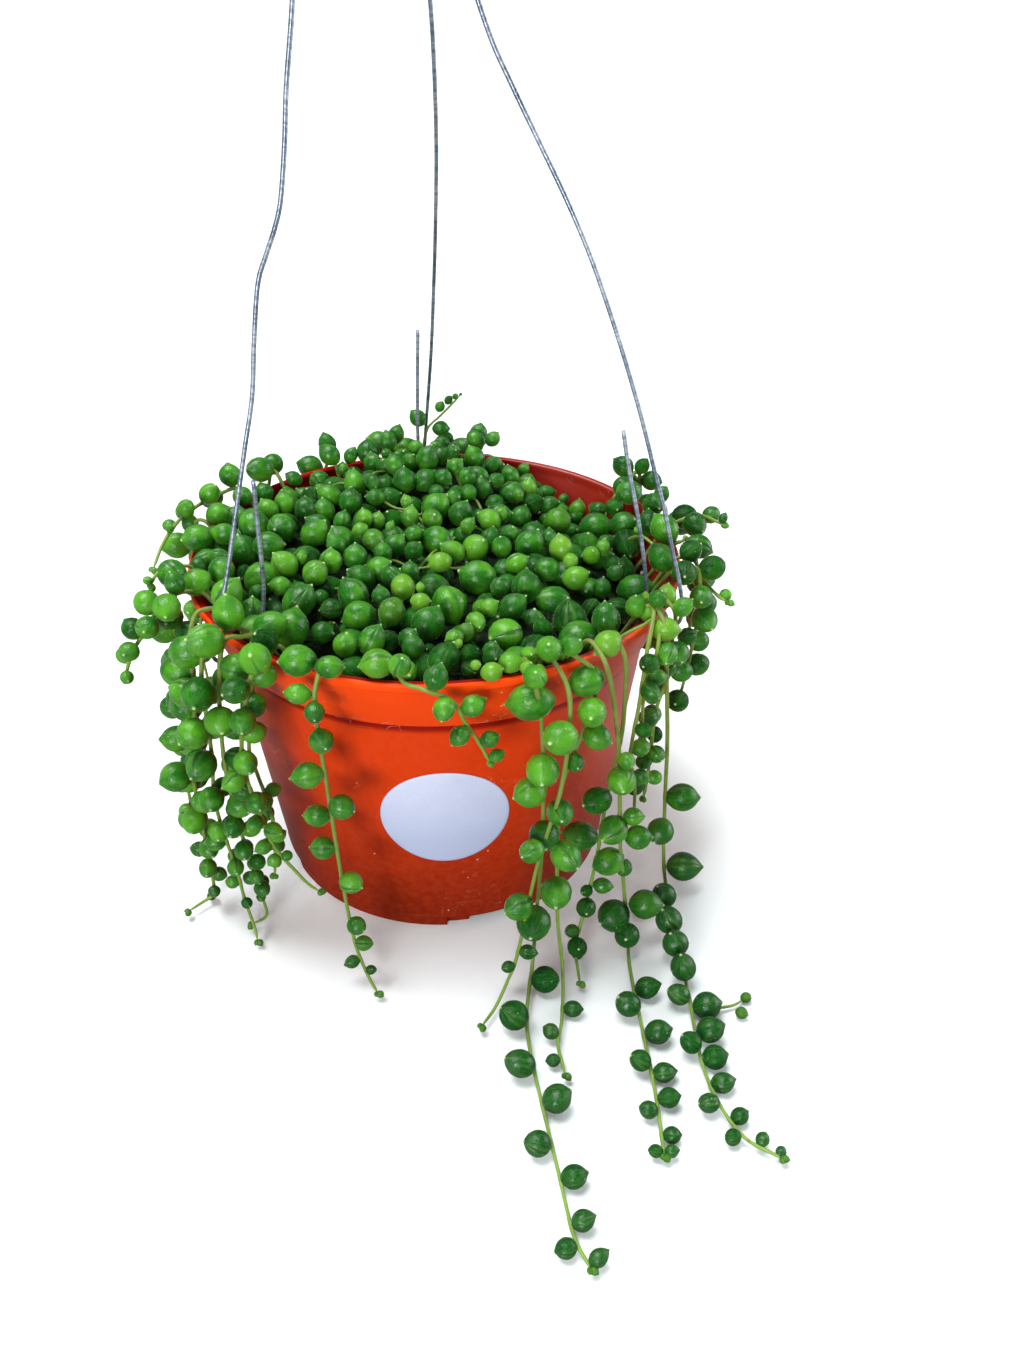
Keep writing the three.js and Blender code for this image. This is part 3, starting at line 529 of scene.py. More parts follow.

# %% [markdown]
# ## The pot's plastic
# The moulding is warm orange with a soft mottle, broken scratches and dust. Its colour is darker towards the
# foot and on the inner skin, which is painted shade, and brighter at the collar, which is painted light; its
# gloss rises towards the right side for a painted sheen there. Height, distance from the axis and side are
# read from the piece's own coordinates: the inner skin is told from the outer by a cone that runs in the
# middle of the wall.

# %% The pot's plastic
def make_plastic():
    """Terracotta-coloured plastic: warm orange with scuffs and dust, darker low down and inside (painted
    shade), brighter at the collar (painted light), glossier to the right (painted sheen).
    """
    material, tree, shader = new_finish("terracotta_plastic")
    place = tree.add("SeparateXYZ", {0: tree.place()})
    height = tree.between(place.outputs["Z"], 0.0, 0.085)
    broad = tree.group(MOTTLE, Scale=22.0, Low=0.3, High=0.7)
    fine = tree.group(MOTTLE, Scale=420.0, Low=0.3, High=0.7)
    # Painted shade: the colour darkens from the collar down to the foot.
    colour = tree.blend(height, (0.19, 0.011, 0.002, 1), (0.74, 0.046, 0.002, 1))
    # Painted light: the collar's colour is made brighter than the wall below it.
    collar = tree.between(place.outputs["Z"], 0.0875, 0.0900)
    colour = tree.blend(collar, colour, (0.98, 0.068, 0.002, 1))
    colour = tree.tint(colour, broad, 0.26, (0.46, 0.026, 0.004))
    colour = tree.tint(colour, fine, 0.10, (0.80, 0.12, 0.03))
    across = tree.add("CombineXYZ", {0: place.outputs["X"], 1: place.outputs["Y"]}).outputs[0]
    far = tree.add("VectorMath", {0: across}, operation="LENGTH").outputs["Value"]
    middle = tree.math("MULTIPLY_ADD", tree.minus(place.outputs["Z"], 0.089), 0.38, 0.0675)
    inside = tree.between(tree.minus(far, middle), 0.0003, -0.0003)
    # Painted shade: the inner skin of the pot is made darker than the outer one.
    colour = tree.blend(inside, colour, (0.27, 0.006, 0.001, 1))
    scuffs = tree.group(SCUFFS, Scale=90.0, Width=0.004, Share=0.42)
    scuffs = tree.times(scuffs, tree.between(place.outputs["Z"], 0.03, 0.08, 0.25, 1.0))
    specks = tree.group(SPECKS, Scale=320.0, Size=0.11, Share=0.06)
    worn = tree.math("MAXIMUM", tree.times(scuffs, 0.35), tree.times(specks, 0.5))
    colour = tree.blend(worn, colour, (0.86, 0.60, 0.50, 1))
    rough = tree.between(tree.plus(broad, worn), 0.0, 1.3, 0.36, 0.52)
    relief = tree.plus(tree.times(fine, 0.4), tree.times(worn, -0.5))
    dress(tree, shader, Base_Color=colour, Roughness=rough, Normal=bump(tree, relief, 0.00012, 0.5))
    # Painted sheen: the specular level rises towards the right side, so only that side shows the side
    # window's sheen.
    right_side_sheen = tree.between(place.outputs["X"], 0.015, 0.055, 0.08, 0.90)
    dress(tree, shader, Specular_IOR_Level=right_side_sheen)
    return material


pot_part = (*skin(pot_rings()), make_plastic(), {})
pot = drilled(new_piece("nursery_pot", [pot_part], ["pot"]))
pot.data.polygons.foreach_set("use_smooth", np.ones(len(pot.data.polygons), bool))
pot.data.set_sharp_from_angle(angle=math.radians(40))
print("pot:", len(pot.data.polygons), "faces")

# %% [markdown]
# ## The label
# A round paper sticker lies on the cone, so it is cut as an upright circle and wrapped on the wall. It
# is left blank. Its two skins are polar grids joined at the edge, and the edge lifts a hair.

# %% The label
LABEL_RADIUS, LABEL_HEIGHT = 19.0, 51.0
WALL_SLOPE = (66.6 - FOOT_RADIUS) / 88.6


def label_rings():
    """Polar rings over the front skin, then back over the rear one: y = -sqrt(wall radius^2 - x^2)."""
    shares = np.array([0.02, 0.25, 0.5, 0.75, 0.93, 0.985, 1.0, 0.985, 0.93, 0.5, 0.02])
    lift = np.array([0.37, 0.37, 0.37, 0.38, 0.39, 0.38, 0.2, 0.08, 0.07, 0.06, 0.06])
    around = circle(96)
    x = LABEL_RADIUS * shares[:, None] * around[:, 0]
    z = LABEL_HEIGHT + LABEL_RADIUS * shares[:, None] * around[:, 1]
    wall = FOOT_RADIUS + WALL_SLOPE * z + lift[:, None]
    return np.stack([x, -np.sqrt(wall**2 - x**2), z], -1)


def make_paper():
    """Cool white label paper: a faint mottle, fibres as tiny specks, a soft rough surface, and darker towards
    the bottom as painted shade.
    """
    material, tree, shader = new_finish("label_paper")
    broad = tree.group(MOTTLE, Scale=45.0, Low=0.3, High=0.7)
    fibre = tree.group(MOTTLE, Scale=2200.0, Low=0.35, High=0.65)
    height = tree.add("SeparateXYZ", {0: tree.place()}).outputs["Z"]
    # Painted shade: the paper darkens towards the bottom of the label.
    colour = tree.blend(tree.between(height, 0.034, 0.068), (0.45, 0.51, 0.72, 1), (0.66, 0.71, 0.92, 1))
    colour = tree.tint(colour, broad, 0.4, (0.45, 0.505, 0.70))
    colour = tree.tint(colour, fibre, 0.12, (0.38, 0.42, 0.54))
    rough = tree.between(fibre, 0.0, 1.0, 0.55, 0.75)
    dress(tree, shader, Base_Color=colour, Roughness=rough, Normal=bump(tree, fibre, 0.00004, 0.6))
    return material


label_part = (*turned_over(*skin(label_rings())), make_paper(), {})
label = new_piece("label_blank", [label_part], ["label"])
print("label:", len(label.data.polygons), "faces")

# %% [markdown]
# ## Routes
# Wires and stems follow smooth curves through a few given points, a Catmull-Rom curve read by
# distance. A round section is carried along such a route. The section's first direction is the route's
# flattest one, so the tube doesn't twist however the route bends.

# %% Routes
class Route:
    """A Catmull-Rom curve through points, with its length and its points and tangents by distance."""

    def __init__(self, points):
        p = np.array(points, float)
        self.knots = np.vstack([2 * p[0] - p[1], p, 2 * p[-1] - p[-2]])
        self.shares = np.arange(201) / 200
        gaps = np.linalg.norm(np.diff(self.point(self.shares), axis=0), axis=1)
        self.reached = np.concatenate([[0.0], np.cumsum(gaps)])
        self.length = self.reached[-1]

    def point(self, t):
        """Position at share t of the knots: a cubic from each knot to the next, with half-chord slopes."""
        spans = len(self.knots) - 3
        p = spans * np.asarray(t, float)
        i = np.minimum(np.floor(p).astype(int), spans - 1)
        w = (p - i)[..., None]
        before, first, second, after = (self.knots[i + k] for k in range(4))
        u, v = 0.5 * (second - before), 0.5 * (after - first)
        bend, twist = 3 * (second - first) - 2 * u - v, 2 * (first - second) + u + v
        return first + w * u + w**2 * bend + w**3 * twist

    def share(self, along):
        """The share of the knots at a distance along the curve."""
        return np.interp(along, self.reached, self.shares)

    def at(self, along):
        """Position at a distance along the curve."""
        return self.point(self.share(along))

    def tangent(self, along):
        """Direction at a distance along the curve, from two near points."""
        t = self.share(along)
        return unit(self.point(np.minimum(t + 1e-4, 1)) - self.point(np.maximum(t - 1e-4, 0)))


def tube(route, along, radii, sides):
    """Rings of a round section carried along a route: centre + radius (cos a u + sin a v)."""
    centres, ahead = route.at(along), route.tangent(along)
    flattest = np.linalg.svd(ahead)[2][-1]
    u = unit(np.cross(ahead, flattest))
    v = np.cross(ahead, u)
    ring = circle(sides)
    spread = ring[:, 0, None] * u[:, None] + ring[:, 1, None] * v[:, None]
    return centres[:, None] + np.asarray(radii)[:, None, None] * spread


quarter = Route([(0, 0, 0), (10, 0, 0), (10, 10, 0)])
print("a bent route of two 10 mm legs is", round(quarter.length, 1), "mm long")

# %% [markdown]
# ## The hanger
# Three galvanised wires hook through the collar, stand up with short tails inside the pot, and gather
# in a crimped sleeve under a ceiling hook. Each wire is bent in its own upright plane, so its route is
# a list of (distance from the axis, height). The sleeve and hook stand above what the picture shows.

# %% The hanger
WIRE_RADIUS, WIRE_SPREAD, WIRE_TOP = 0.6, 2.6, 379.0
SLEEVE_BOTTOM, SLEEVE_HEIGHT, SLEEVE_RADIUS = 372.0, 14.0, 5.0
HOOK_RADIUS, HOOK_BEND = 1.2, 13.0
HOOK_TURN = [(69.2, 98.3), (71.2, 97.3), (74, 97.3), (77.4, 98.9), (79, 102)]
WIRES = [
    ("wire_right", -28,
     [(57.7, 155), (60.1, 144), (63.8, 130), (67, 115), (68.5, 104)],
     [(78.8, 107), (77, 114.5), (74.8, 121.5), (71, 134.5), (68.1, 142.7), (63, 157.8), (57.6, 172),
      (51.9, 185.6), (45.9, 198.6), (39.1, 211), (31.7, 223), (24.5, 234.6), (18, 246), (12, 262), (7.5, 285),
      (5, 315), (4, 340)]),
    ("wire_left", -141.5,
     [(59.7, 147.3), (60.2, 133.2), (60.7, 118), (62.3, 108.5), (66, 101.5)],
     [(77.6, 106.5), (75.6, 111.5), (71.4, 122.5), (66.5, 138.2), (61.2, 155.5), (57, 169), (54.5, 182.6),
      (51.7, 195.3), (48.7, 201.3), (45.5, 207), (43.1, 213), (40.6, 224.6), (38.7, 236), (35.2, 252),
      (31, 275), (24, 305), (13.5, 338), (4.5, 362)]),
    ("wire_back", 93,
     [(64.5, 155, 0.5), (65.5, 136, 1.3), (67, 116, 1.8), (68.4, 104, 0.9)],
     [(79.2, 107, -0.9), (77.4, 117, -1.7), (71, 143, -3.8), (64, 165, -4.9), (57, 190, -5.9),
      (49, 215, -6.3), (38, 240, -5.4), (31, 262, -3.9), (24, 290, -2.6), (15, 325, -1.3), (5, 360)]),
]


def in_plane(azimuth, plane):
    """(distance from the axis, height) at that azimuth as points; a third number is mm sideways."""
    c, s = math.cos(math.radians(azimuth)), math.sin(math.radians(azimuth))
    return [(r * c - sum(aside) * s, r * s + sum(aside) * c, z) for r, z, *aside in plane]


def make_zinc():
    """Galvanised wire: blue-grey metal with drawn rings every millimetre or so and dull spangles."""
    material, tree, shader = new_finish("galvanised_wire")
    along = tree.add("CombineXYZ", {0: tree.mark("along")}).outputs[0]
    rings = tree.add("TexNoise", {"Vector": along, "Scale": 900.0, "Detail": 2.0}).outputs["Fac"]
    band = tree.between(rings, 0.42, 0.62)
    broad = tree.group(MOTTLE, Scale=160.0, Low=0.35, High=0.65)
    colour = tree.blend(broad, (0.20, 0.25, 0.34, 1), (0.42, 0.47, 0.56, 1))
    colour = tree.tint(colour, band, 0.55, (0.07, 0.09, 0.13))
    rough = tree.between(broad, 0.0, 1.0, 0.30, 0.50)
    normal = bump(tree, band, 0.00008, 0.6)
    dress(tree, shader, Base_Color=colour, Roughness=rough, Metallic=0.75, Normal=normal)
    return material


def bar(name, points, radius, sides, step, material, replaces):
    """A round bar along a route, its ends drawn in a little, with its length marked on it in metres."""
    route = Route(points)
    inner = np.linspace(0.25 * radius, route.length - 0.25 * radius, max(3, round(route.length / step)))
    along = np.concatenate([[0.0], inner, [route.length]])
    radii = np.full(len(along), radius)
    radii[[0, -1]] *= 0.72
    body, faces = skin(tube(route, along, radii, sides), "flat", "flat")
    marks = {"along": np.repeat(along, sides) * MM}
    return new_piece(name, [(body, faces, material, marks)], replaces)


zinc = make_zinc()
wire_routes = {}
for name, azimuth, tail, rise in WIRES:
    plane = [*tail, *HOOK_TURN, *rise, (WIRE_SPREAD, 370), (WIRE_SPREAD, WIRE_TOP)]
    wire_routes[name] = in_plane(azimuth, plane)
    bar(name + "_drawn", wire_routes[name], WIRE_RADIUS, 12, 1.5, zinc, [name])
print("wires:", {n: round(Route(p).length) for n, p in wire_routes.items()}, "mm")

# %% [markdown]
# ## Sleeve and ceiling hook
# The sleeve is a turned tube, pinched where the crimping tool bit it. The hook is one bent rod: a
# straight shank that goes most of the way round a circle.

# %% Sleeve and ceiling hook
HOOK_FOOT = SLEEVE_BOTTOM + SLEEVE_HEIGHT - 5.7
HOOK_CENTRE = HOOK_FOOT + 36


def sleeve_rings():
    """A turned sleeve with rolled ends, pinched on two sides at two heights where the tool bit it."""
    top = SLEEVE_BOTTOM + SLEEVE_HEIGHT
    z = np.linspace(SLEEVE_BOTTOM, top, 25)
    edge = np.minimum(z - SLEEVE_BOTTOM, top - z)
    r = SLEEVE_RADIUS - 0.8 * np.clip(1 - edge / 1.0, 0, 1) ** 2
    a = np.linspace(0, 2 * math.pi, 40, endpoint=False)
    pinch = np.exp(-((z - top + 4.2) / 1.3) ** 2) + np.exp(-((z - SLEEVE_BOTTOM - 4.2) / 1.3) ** 2)
    r = r[:, None] - 0.9 * pinch[:, None] * np.abs(np.cos(a)) ** 3
    return np.stack([r * np.cos(a), r * np.sin(a), z[:, None] + 0 * a], -1)


def hook_route():
    """Up from the sleeve, then most of a turn: centre + bend (cos a, sin a) from -68 to 188 degrees."""
    shank = [(0, 0, HOOK_FOOT + rise) for rise in (0, 9, 17)]
    turn = np.radians(-68 + 32 * np.arange(9))
    return shank + [(HOOK_BEND * math.cos(a), 0, HOOK_CENTRE + HOOK_BEND * math.sin(a)) for a in turn]


sleeve_points, sleeve_faces = skin(sleeve_rings(), "flat", "flat")
sleeve = (sleeve_points, sleeve_faces, zinc, {"along": sleeve_points[:, 2] * MM})
new_piece("crimped_sleeve", [sleeve], ["ferrule"])
bar("ceiling_hook", hook_route(), HOOK_RADIUS, 14, 1.5, zinc, ["hanger_hook"])
print("hook top at", HOOK_CENTRE + HOOK_BEND + HOOK_RADIUS, "mm")

# %% [markdown]
# ## Potting mix
# Under the leaves lies a dark peaty mix. Its top is a polar grid raised by a few seeded waves, and it
# goes down to the pot's floor as one closed body.

# %% Potting mix
SOIL_TOP, SOIL_GAP = 94.0, 0.35


def waves(x, y, spacing, count, seed):
    """Gentle lumps: the mean of count cosine waves of about that spacing in seeded directions."""
    draw = np.random.default_rng(seed)
    turn, shift = draw.uniform(0, 2 * math.pi, (2, count))
    pace = 2 * math.pi / (spacing * draw.uniform(0.7, 1.4, count))
    phase = (x[..., None] * np.cos(turn) + y[..., None] * np.sin(turn)) * pace + shift
    return np.cos(phase).mean(-1)


def soil_height(x, y):
    """The level of the mix, with two sizes of lumps."""
    return SOIL_TOP - 0.8 + 2.2 * waves(x, y, 17, 7, 5) + 1.4 * waves(x, y, 5, 9, 6)


def soil_rings():
    """Rings out over the lumpy top to the wall, then down inside the wall to the middle of the base."""
    angles = np.linspace(0, 2 * math.pi, 144, endpoint=False)
    top = turned([(r, SOIL_TOP) for r in np.linspace(0.5, 68.0, 46)], angles)
    top[..., 2] = soil_height(top[..., 0], top[..., 1])
    g = SOIL_GAP
    side = [(66.7 - g, 89.2 + g), (65 - g, 88 + g), (54.1 - g, FLOOR_TOP + g), (0.5, FLOOR_TOP + g)]
    return np.vstack([top, turned(side, angles)])[::-1]


def make_earth():
    """Peat: near-black brown crumbs at two scales, damp in places."""
    material, tree, shader = new_finish("potting_mix")
    crumbs = tree.group(MOTTLE, Scale=700.0, Low=0.35, High=0.65)
    clods = tree.group(MOTTLE, Scale=180.0, Low=0.35, High=0.65)
    colour = tree.blend(clods, (0.006, 0.005, 0.004, 1), (0.026, 0.017, 0.011, 1))
    colour = tree.tint(colour, crumbs, 0.4, (0.060, 0.040, 0.026))
    relief = tree.plus(clods, tree.times(crumbs, 0.5))
    rough = tree.between(clods, 0.0, 1.0, 0.6, 0.95)
    dress(tree, shader, Base_Color=colour, Roughness=rough, Normal=bump(tree, relief, 0.0012))
    dress(tree, shader, Specular_IOR_Level=0.2)
    return material


mix = new_piece("potting_mix", [(*skin(soil_rings()), make_earth(), {})], ["soil"])
print("potting mix:", len(mix.data.polygons), "faces")

# %% [markdown]
# ## Perlite and bark
# White perlite and brown bark lie on the mix where the light still finds them. They are small pebbles
# of two dozen faces, all made in one array operation.

# %% Perlite and bark
def make_grain(name, pale, dark):
    """A crumbly grain finish between two tones."""
    material, tree, shader = new_finish(name)
    tone = tree.group(MOTTLE, Scale=900.0, Low=0.3, High=0.7)
    rough = tree.between(tone, 0.0, 1.0, 0.7, 0.95)
    relief = bump(tree, tone, 0.0003)
    dress(tree, shader, Base_Color=tree.blend(tone, pale, dark), Roughness=rough, Normal=relief)
    return material


def pebbles(count, sizes, seed, squash, ring):
    """Many small stones at once: a six-by-three ball with seeded dents, turned, scaled and dropped."""
    draw = np.random.default_rng(seed)
    tall = np.radians([35, 90, 145])
    rings = np.stack([np.sin(tall)[:, None, None] * circle(6)[None], np.zeros((3, 6, 2))], -1)
    ball = np.concatenate([rings[..., 0], np.repeat(np.cos(tall)[:, None, None], 6, 1)], -1)
    body, faces = turned_over(*skin(ball))
    body[-2:] *= 1.1
    dents = draw.uniform(0.7, 1.15, (count, len(body), 1))
    scale = draw.uniform(*sizes, (count, 1, 1)) * np.array([1.0, 0.8, squash])
    spin = np.linalg.qr(draw.normal(size=(count, 3, 3)))[0]
    far = np.sqrt(draw.uniform(ring[0] ** 2, ring[1] ** 2, count))
    turn = draw.uniform(0, 2 * math.pi, count)
    x, y = far * np.cos(turn), far * np.sin(turn)
    place = np.stack([x, y, soil_height(x, y) + 0.3], -1)
    points = np.einsum("nvi,nij->nvj", body * dents * scale, spin) + place[:, None]
    shift = np.arange(count) * len(body)
    return points.reshape(-1, 3), [[i + s for i in face] for s in shift for face in faces]


white, grey = (0.78, 0.76, 0.72, 1), (0.50, 0.48, 0.44, 1)
perlite = pebbles(260, (0.6, 1.5), 21, 0.8, (25, 66))
new_piece("perlite_grains", [(*perlite, make_grain("perlite", white, grey), {})])
bark, peat = (0.10, 0.06, 0.035, 1), (0.03, 0.02, 0.013, 1)
chips = pebbles(420, (0.8, 2.4), 22, 0.45, (20, 66))
new_piece("bark_chips", [(*chips, make_grain("bark", bark, peat), {})])
print("grains:", len(perlite[0]) // 20, "and", len(chips[0]) // 20)

# %% [markdown]
# ## A repeatable draw
# Small chances, such as a pearl's exact size, come from a stream of numbers that is the same on every
# run. The solids were made in another language and had to draw the same numbers, so the stream is
# written out here with plain 32-bit steps.

# %% A repeatable draw
class Draw:
    """A repeatable stream of numbers from 0 to 1, from 32-bit multiplies and shifts of a counter."""

    def __init__(self, seed):
        self.state = seed

    def __call__(self):
        word = 0xFFFFFFFF
        self.state = (self.state + 0x6D2B79F5) & word
        t = self.state
        t = ((t ^ (t >> 15)) * (t | 1)) & word
        t ^= (t + (((t ^ (t >> 7)) * (t | 61)) & word)) & word
        return ((t ^ (t >> 14)) & word) / 4294967296


sample = Draw(1)
print("three draws:", [round(sample(), 3) for _ in range(3)])

# %% [markdown]
# ## Where the stems run
# The plant is a mat of pearls with stems that creep over the lip and hang, and the longest lie on the
# floor. Each stem that the picture shows is listed by the azimuth where it leaves the mix, its first
# and last pearl radius, the points it passes, and how far along it each pearl sits; a minus sign puts
# that pearl on the stem's left. A bushy stem takes more pearls than the listed ones.

# %% Where the stems run
ROOT_CIRCLE, ROOT_DEPTH = 63.3, 6.0


def trail(name, azimuth, radii, via, beads, bushy=False):
    """One stem: over the lip at its azimuth, then through the points of via."""
    root = [(ROOT_CIRCLE, SOIL_TOP - ROOT_DEPTH), (ROOT_CIRCLE, SOIL_TOP + 0.5)]
    route = Route(in_plane(azimuth, root + [(66.4, 99.5), (72.2, 110), (76, 111.5)]) + via)
    return {"name": name, "radii": radii, "beads": beads, "bushy": bushy, "route": route}


TRAILS = [
    trail("stem_front_left", -113, (4.4, 1.8),
          [(-32, -75, 105), (-32, -75, 92), (-31, -76, 72), (-30, -76, 45), (-28, -77, 18),
           (-25, -78, 4), (-22, -84, 3)],
          [-22, -32, 29, -39, 45, 54, -62, 72, -77, -89, 100, 117, 126, -133, 138]),
    trail("stem_front_short", -98, (3.3, 2),
          [(-9, -78, 110), (-4, -81, 110), (3, -81, 106), (6, -81, 99), (9, -80, 93),
           (12, -80, 86)],
          [-15, -25, 40, -44, 50, -55, 62, 69]),
    trail("stem_front_long", -73, (5.2, 2.4),
          [(24, -78, 107), (26, -78, 92), (27, -77, 57), (26, -77, 25), (25, -79, 6), (22, -95, 3),
           (22, -109, 3), (24, -128, 3), (26, -145, 3), (28, -162, 3), (31, -170, 3)],
          [-26, -41, 54, -65, -73, 78, 88, 96, 110, -118, -125, 141, -158, -174, 186, -198, 208,
           220, -225, 231]),
    trail("stem_front_thin", -64, (3.6, 2),
          [(41, -69, 104), (38, -72, 90), (32, -76, 74), (31, -79, 58), (32, -79, 26),
           (34, -82, 5), (32, -98, 3), (30, -106, 3), (31, -116, 3)],
          [-31, 45, -57, -70, 85, 99, -113, -135, 155, -165, -173]),
    trail("stem_front_fork", -68, (3.2, 2),
          [(33, -76, 102), (31, -83, 80), (25, -83, 50), (20, -83, 15), (17, -85, 6), (13, -92, 3),
           (9, -98, 3)],
          [-31, -55, 73, -91, -113, -123, 129, -135]),
    trail("stem_front_side", -53, (3.6, 1.9),
          [(49, -64, 106), (50, -63, 92), (50, -62, 78), (47, -63, 56), (45, -65, 36),
           (42, -68, 18), (39, -72, 6), (39, -79, 3), (39, -84, 3)],
          [-35, 57, 79, 95, -111, 117, 128, -134, 141]),
    trail("stem_right_front", -58, (4.3, 2),
          [(43, -70, 108), (46, -69, 95), (49, -68, 73), (51, -68, 45), (54, -64, 24),
           (56, -68, 5), (55, -80, 3), (55, -106, 3), (55, -124, 3), (54, -142, 3)],
          [-33, -43, -54, -67, 80, -90, 101, -116, -140, 149, 163, -170, 179, -189, 192, 198, -204,
           211, 215, -221]),
    trail("stem_right_long", -38, (4.6, 1.6),
          [(62, -53, 107), (64, -51, 90), (67, -48, 65), (70, -42, 35), (72, -43, 8), (72, -60, 3),
           (71, -90, 3), (70, -118, 3), (75, -137, 3), (84, -145, 3)],
          [-17, 25, -33, 108, -123, 138, -151, -160, -170, -179, -187, 193, 200, -207, 211, 218,
           -225, 231, -235, 241, 247]),
    trail("stem_right_back_inner", -34, (3.8, 2.4),
          [(66, -45, 108), (66, -44, 96), (67, -43, 89), (63, -47, 78), (62, -49, 69),
           (62, -49, 59), (61, -50, 46)],
          [19, -27, 35, -45, 55, -65, 75, -85, 92], True),
    trail("stem_right_rim", -20, (4, 3.2),
          [(76, -26, 112), (77, -28, 104), (77, -28, 94), (76, -29, 84), (75, -30, 77),
           (73, -32, 68)],
          [11, -19, 25, -29, 35, -41, 47, -53, 59, -65], True),
    trail("stem_right_twig", -14, (4, 1.8),
          [(77, -18, 110), (79, -22, 106), (82, -28, 104), (84, -32, 104)],
          [-13, 19, -25, 47]),
    trail("stem_right_side", -6, (4.6, 3),
          [(76, -6, 113), (80, -8, 105), (81, -8, 96), (80, -9, 88), (80, -10, 78)],
          [9, -17, 23, -29, 37, -43, 51, -57, 63], True),
    trail("stem_left_outer", -156, (4.2, 2),
          [(-72, -37, 114), (-75, -38, 112), (-78, -39, 109), (-80, -40, 105), (-83, -41, 102),
           (-86, -42, 97), (-88, -43, 92)],
          [13, -19, -29, -33, 38, -42, 47, -52, 56, -60, 64]),
    trail("stem_left_back", -161, (4.2, 2.4),
          [(-74, -27, 110), (-76, -28, 101), (-76, -28, 90), (-78, -28, 74), (-79, -28, 57),
           (-81, -28, 44), (-82, -27, 32), (-82, -26, 20)],
          [-15, 23, -31, 39, -47, 53, -59, 67, -75, 83, -91, 98, -106, 113, -119], True),
    trail("stem_left_crest", 150, (3.9, 1.5),
          [(-71, 31, 112), (-76, 22, 112.5), (-80, 11, 112.5), (-83, 2, 110), (-85, -6, 106)],
          [-22, 30, -36, 44, -50, 56, -61, 65]),
    trail("stem_left_mid", -136.5, (4.8, 1.8),
          [(-61, -57, 110), (-63, -60, 102), (-64, -58, 90), (-65, -56, 73), (-67, -54, 55),
           (-66, -54, 40), (-64, -55, 28), (-63, -56, 16), (-61, -58, 6), (-60, -61, 3)],
          [-22, 31, -40, 47, -54, 61, -68, 75, -82, 89, -96, 103, -110, 118, -126, 133], True),
    trail("stem_right_crest", 4, (4.6, 1.6), [(79, 5, 113), (83, 7, 113), (87, 6, 112), (90, 4, 111)],
          [-22, 29, -34, 39, 43]),
    trail("stem_right_corner", 30, (3.9, 2.8),
          [(67, 39, 113), (70, 42, 112), (71, 43, 104), (71, 43, 90), (70, 44, 75), (70, 42, 62)],
          [-14, 20, -25, 31, -38, 47, -58, 68, -78], True),
    trail("stem_left_long", -147, (5.4, 1.7),
          [(-66, -43, 111), (-68, -47, 104), (-68, -50, 91), (-72, -46, 70), (-74, -45, 60),
           (-75, -44, 45), (-75, -43, 30), (-75, -43, 16), (-76, -42, 5), (-79, -43, 3),
           (-83, -47, 3)],
          [-17, 25, -33, 43, -49, 57, -65, 71, -79, 87, -93, 103, -109, 117, 125, -132, 137, -143], True),
    trail("stem_left_main", -132.5, (4.8, 1.7),
          [(-56, -59, 112), (-59, -60, 97), (-61, -59, 76), (-61, -58, 59), (-60, -57, 41),
           (-59, -55, 28), (-58, -53, 12), (-58, -52, 4), (-62, -54, 3)],
          [-15, 25, -33, 41, -47, 55, -63, 73, -81, 89, -97, 107, -115, 121, -126, 132], True),
    trail("stem_left_front", -125, (4.3, 1.6),
          [(-45, -67, 112), (-48, -69, 108), (-51, -69, 98), (-54, -67, 83), (-54, -66, 71),
           (-51, -66, 53), (-49, -66, 45), (-44, -67, 37), (-41, -68, 33), (-38, -69, 31)],
          [-15, 25, 33, -43, 51, -57, 67, -75, 83, 95, -101, 107], True),
]
print("stems in the picture:", len(TRAILS))

# %% [markdown]
# ## Stems on the far side
# The picture doesn't show the far side, so its stems follow a rule: they hang straight down the wall
# with a small sway, and a pearl sits on either side in turn.

# %% Stems on the far side
# Azimuth, height of the tip in mm and sideways sway in degrees.
FAR_SIDE = [(16, 40, 4), (78, 28, 5), (101, 46, -4), (119, 64, 3), (137, 34, 4), (169, 50, -3)]


def far_trail(azimuth, tip, sway, order):
    """A hanging stem: five points down the wall that sway a little, a pearl every 11 to 15 mm."""
    via = []
    for k in range(5):
        a = math.radians(azimuth + sway * math.sin(k * 1.3))
        r = 79.5 + 1.5 * math.sin(k * 0.9 + azimuth)
        via.append((r * math.cos(a), r * math.sin(a), 106 + (tip - 106) * k / 4))
    draw = Draw(500 + order)
    side, beads = (1 if order % 2 else -1), []
    along = 10 + 4 * draw()
    while along < 28 + (106 - tip):
        beads.append(side * along)
        side = -side
        along += 11 + 4 * draw()
    return trail(f"stem_unseen_{order + 1}", azimuth, (4.8, 2.8), via, beads, True)


TRAILS += [far_trail(*row, order) for order, row in enumerate(FAR_SIDE)]
print(len(TRAILS), "stems,", sum(len(t["beads"]) for t in TRAILS), "pearls wanted on them")

# %% [markdown]
# ## Room for a pearl
# Pearls may touch their own stem but not the pot, the mix, the wires or another stem. Everything in
# place is remembered as balls with an owner, a stem as a row of small balls, and a pearl goes only
# where its ball, grown by a little for its tip, finds room.

# %% Room for a pearl
CORE_RADIUS, STEM_RADIUS, CLEARANCE, TIP, OVERLAP = 60.5, 0.75, 0.35, 1.08, 0.02


def bump_at(x, y, cx, cy, width):
    """A round hump of height one: exp(-distance^2 / (2 width^2))."""
    return np.exp(-((x - cx) ** 2 + (y - cy) ** 2) / (2 * width**2))


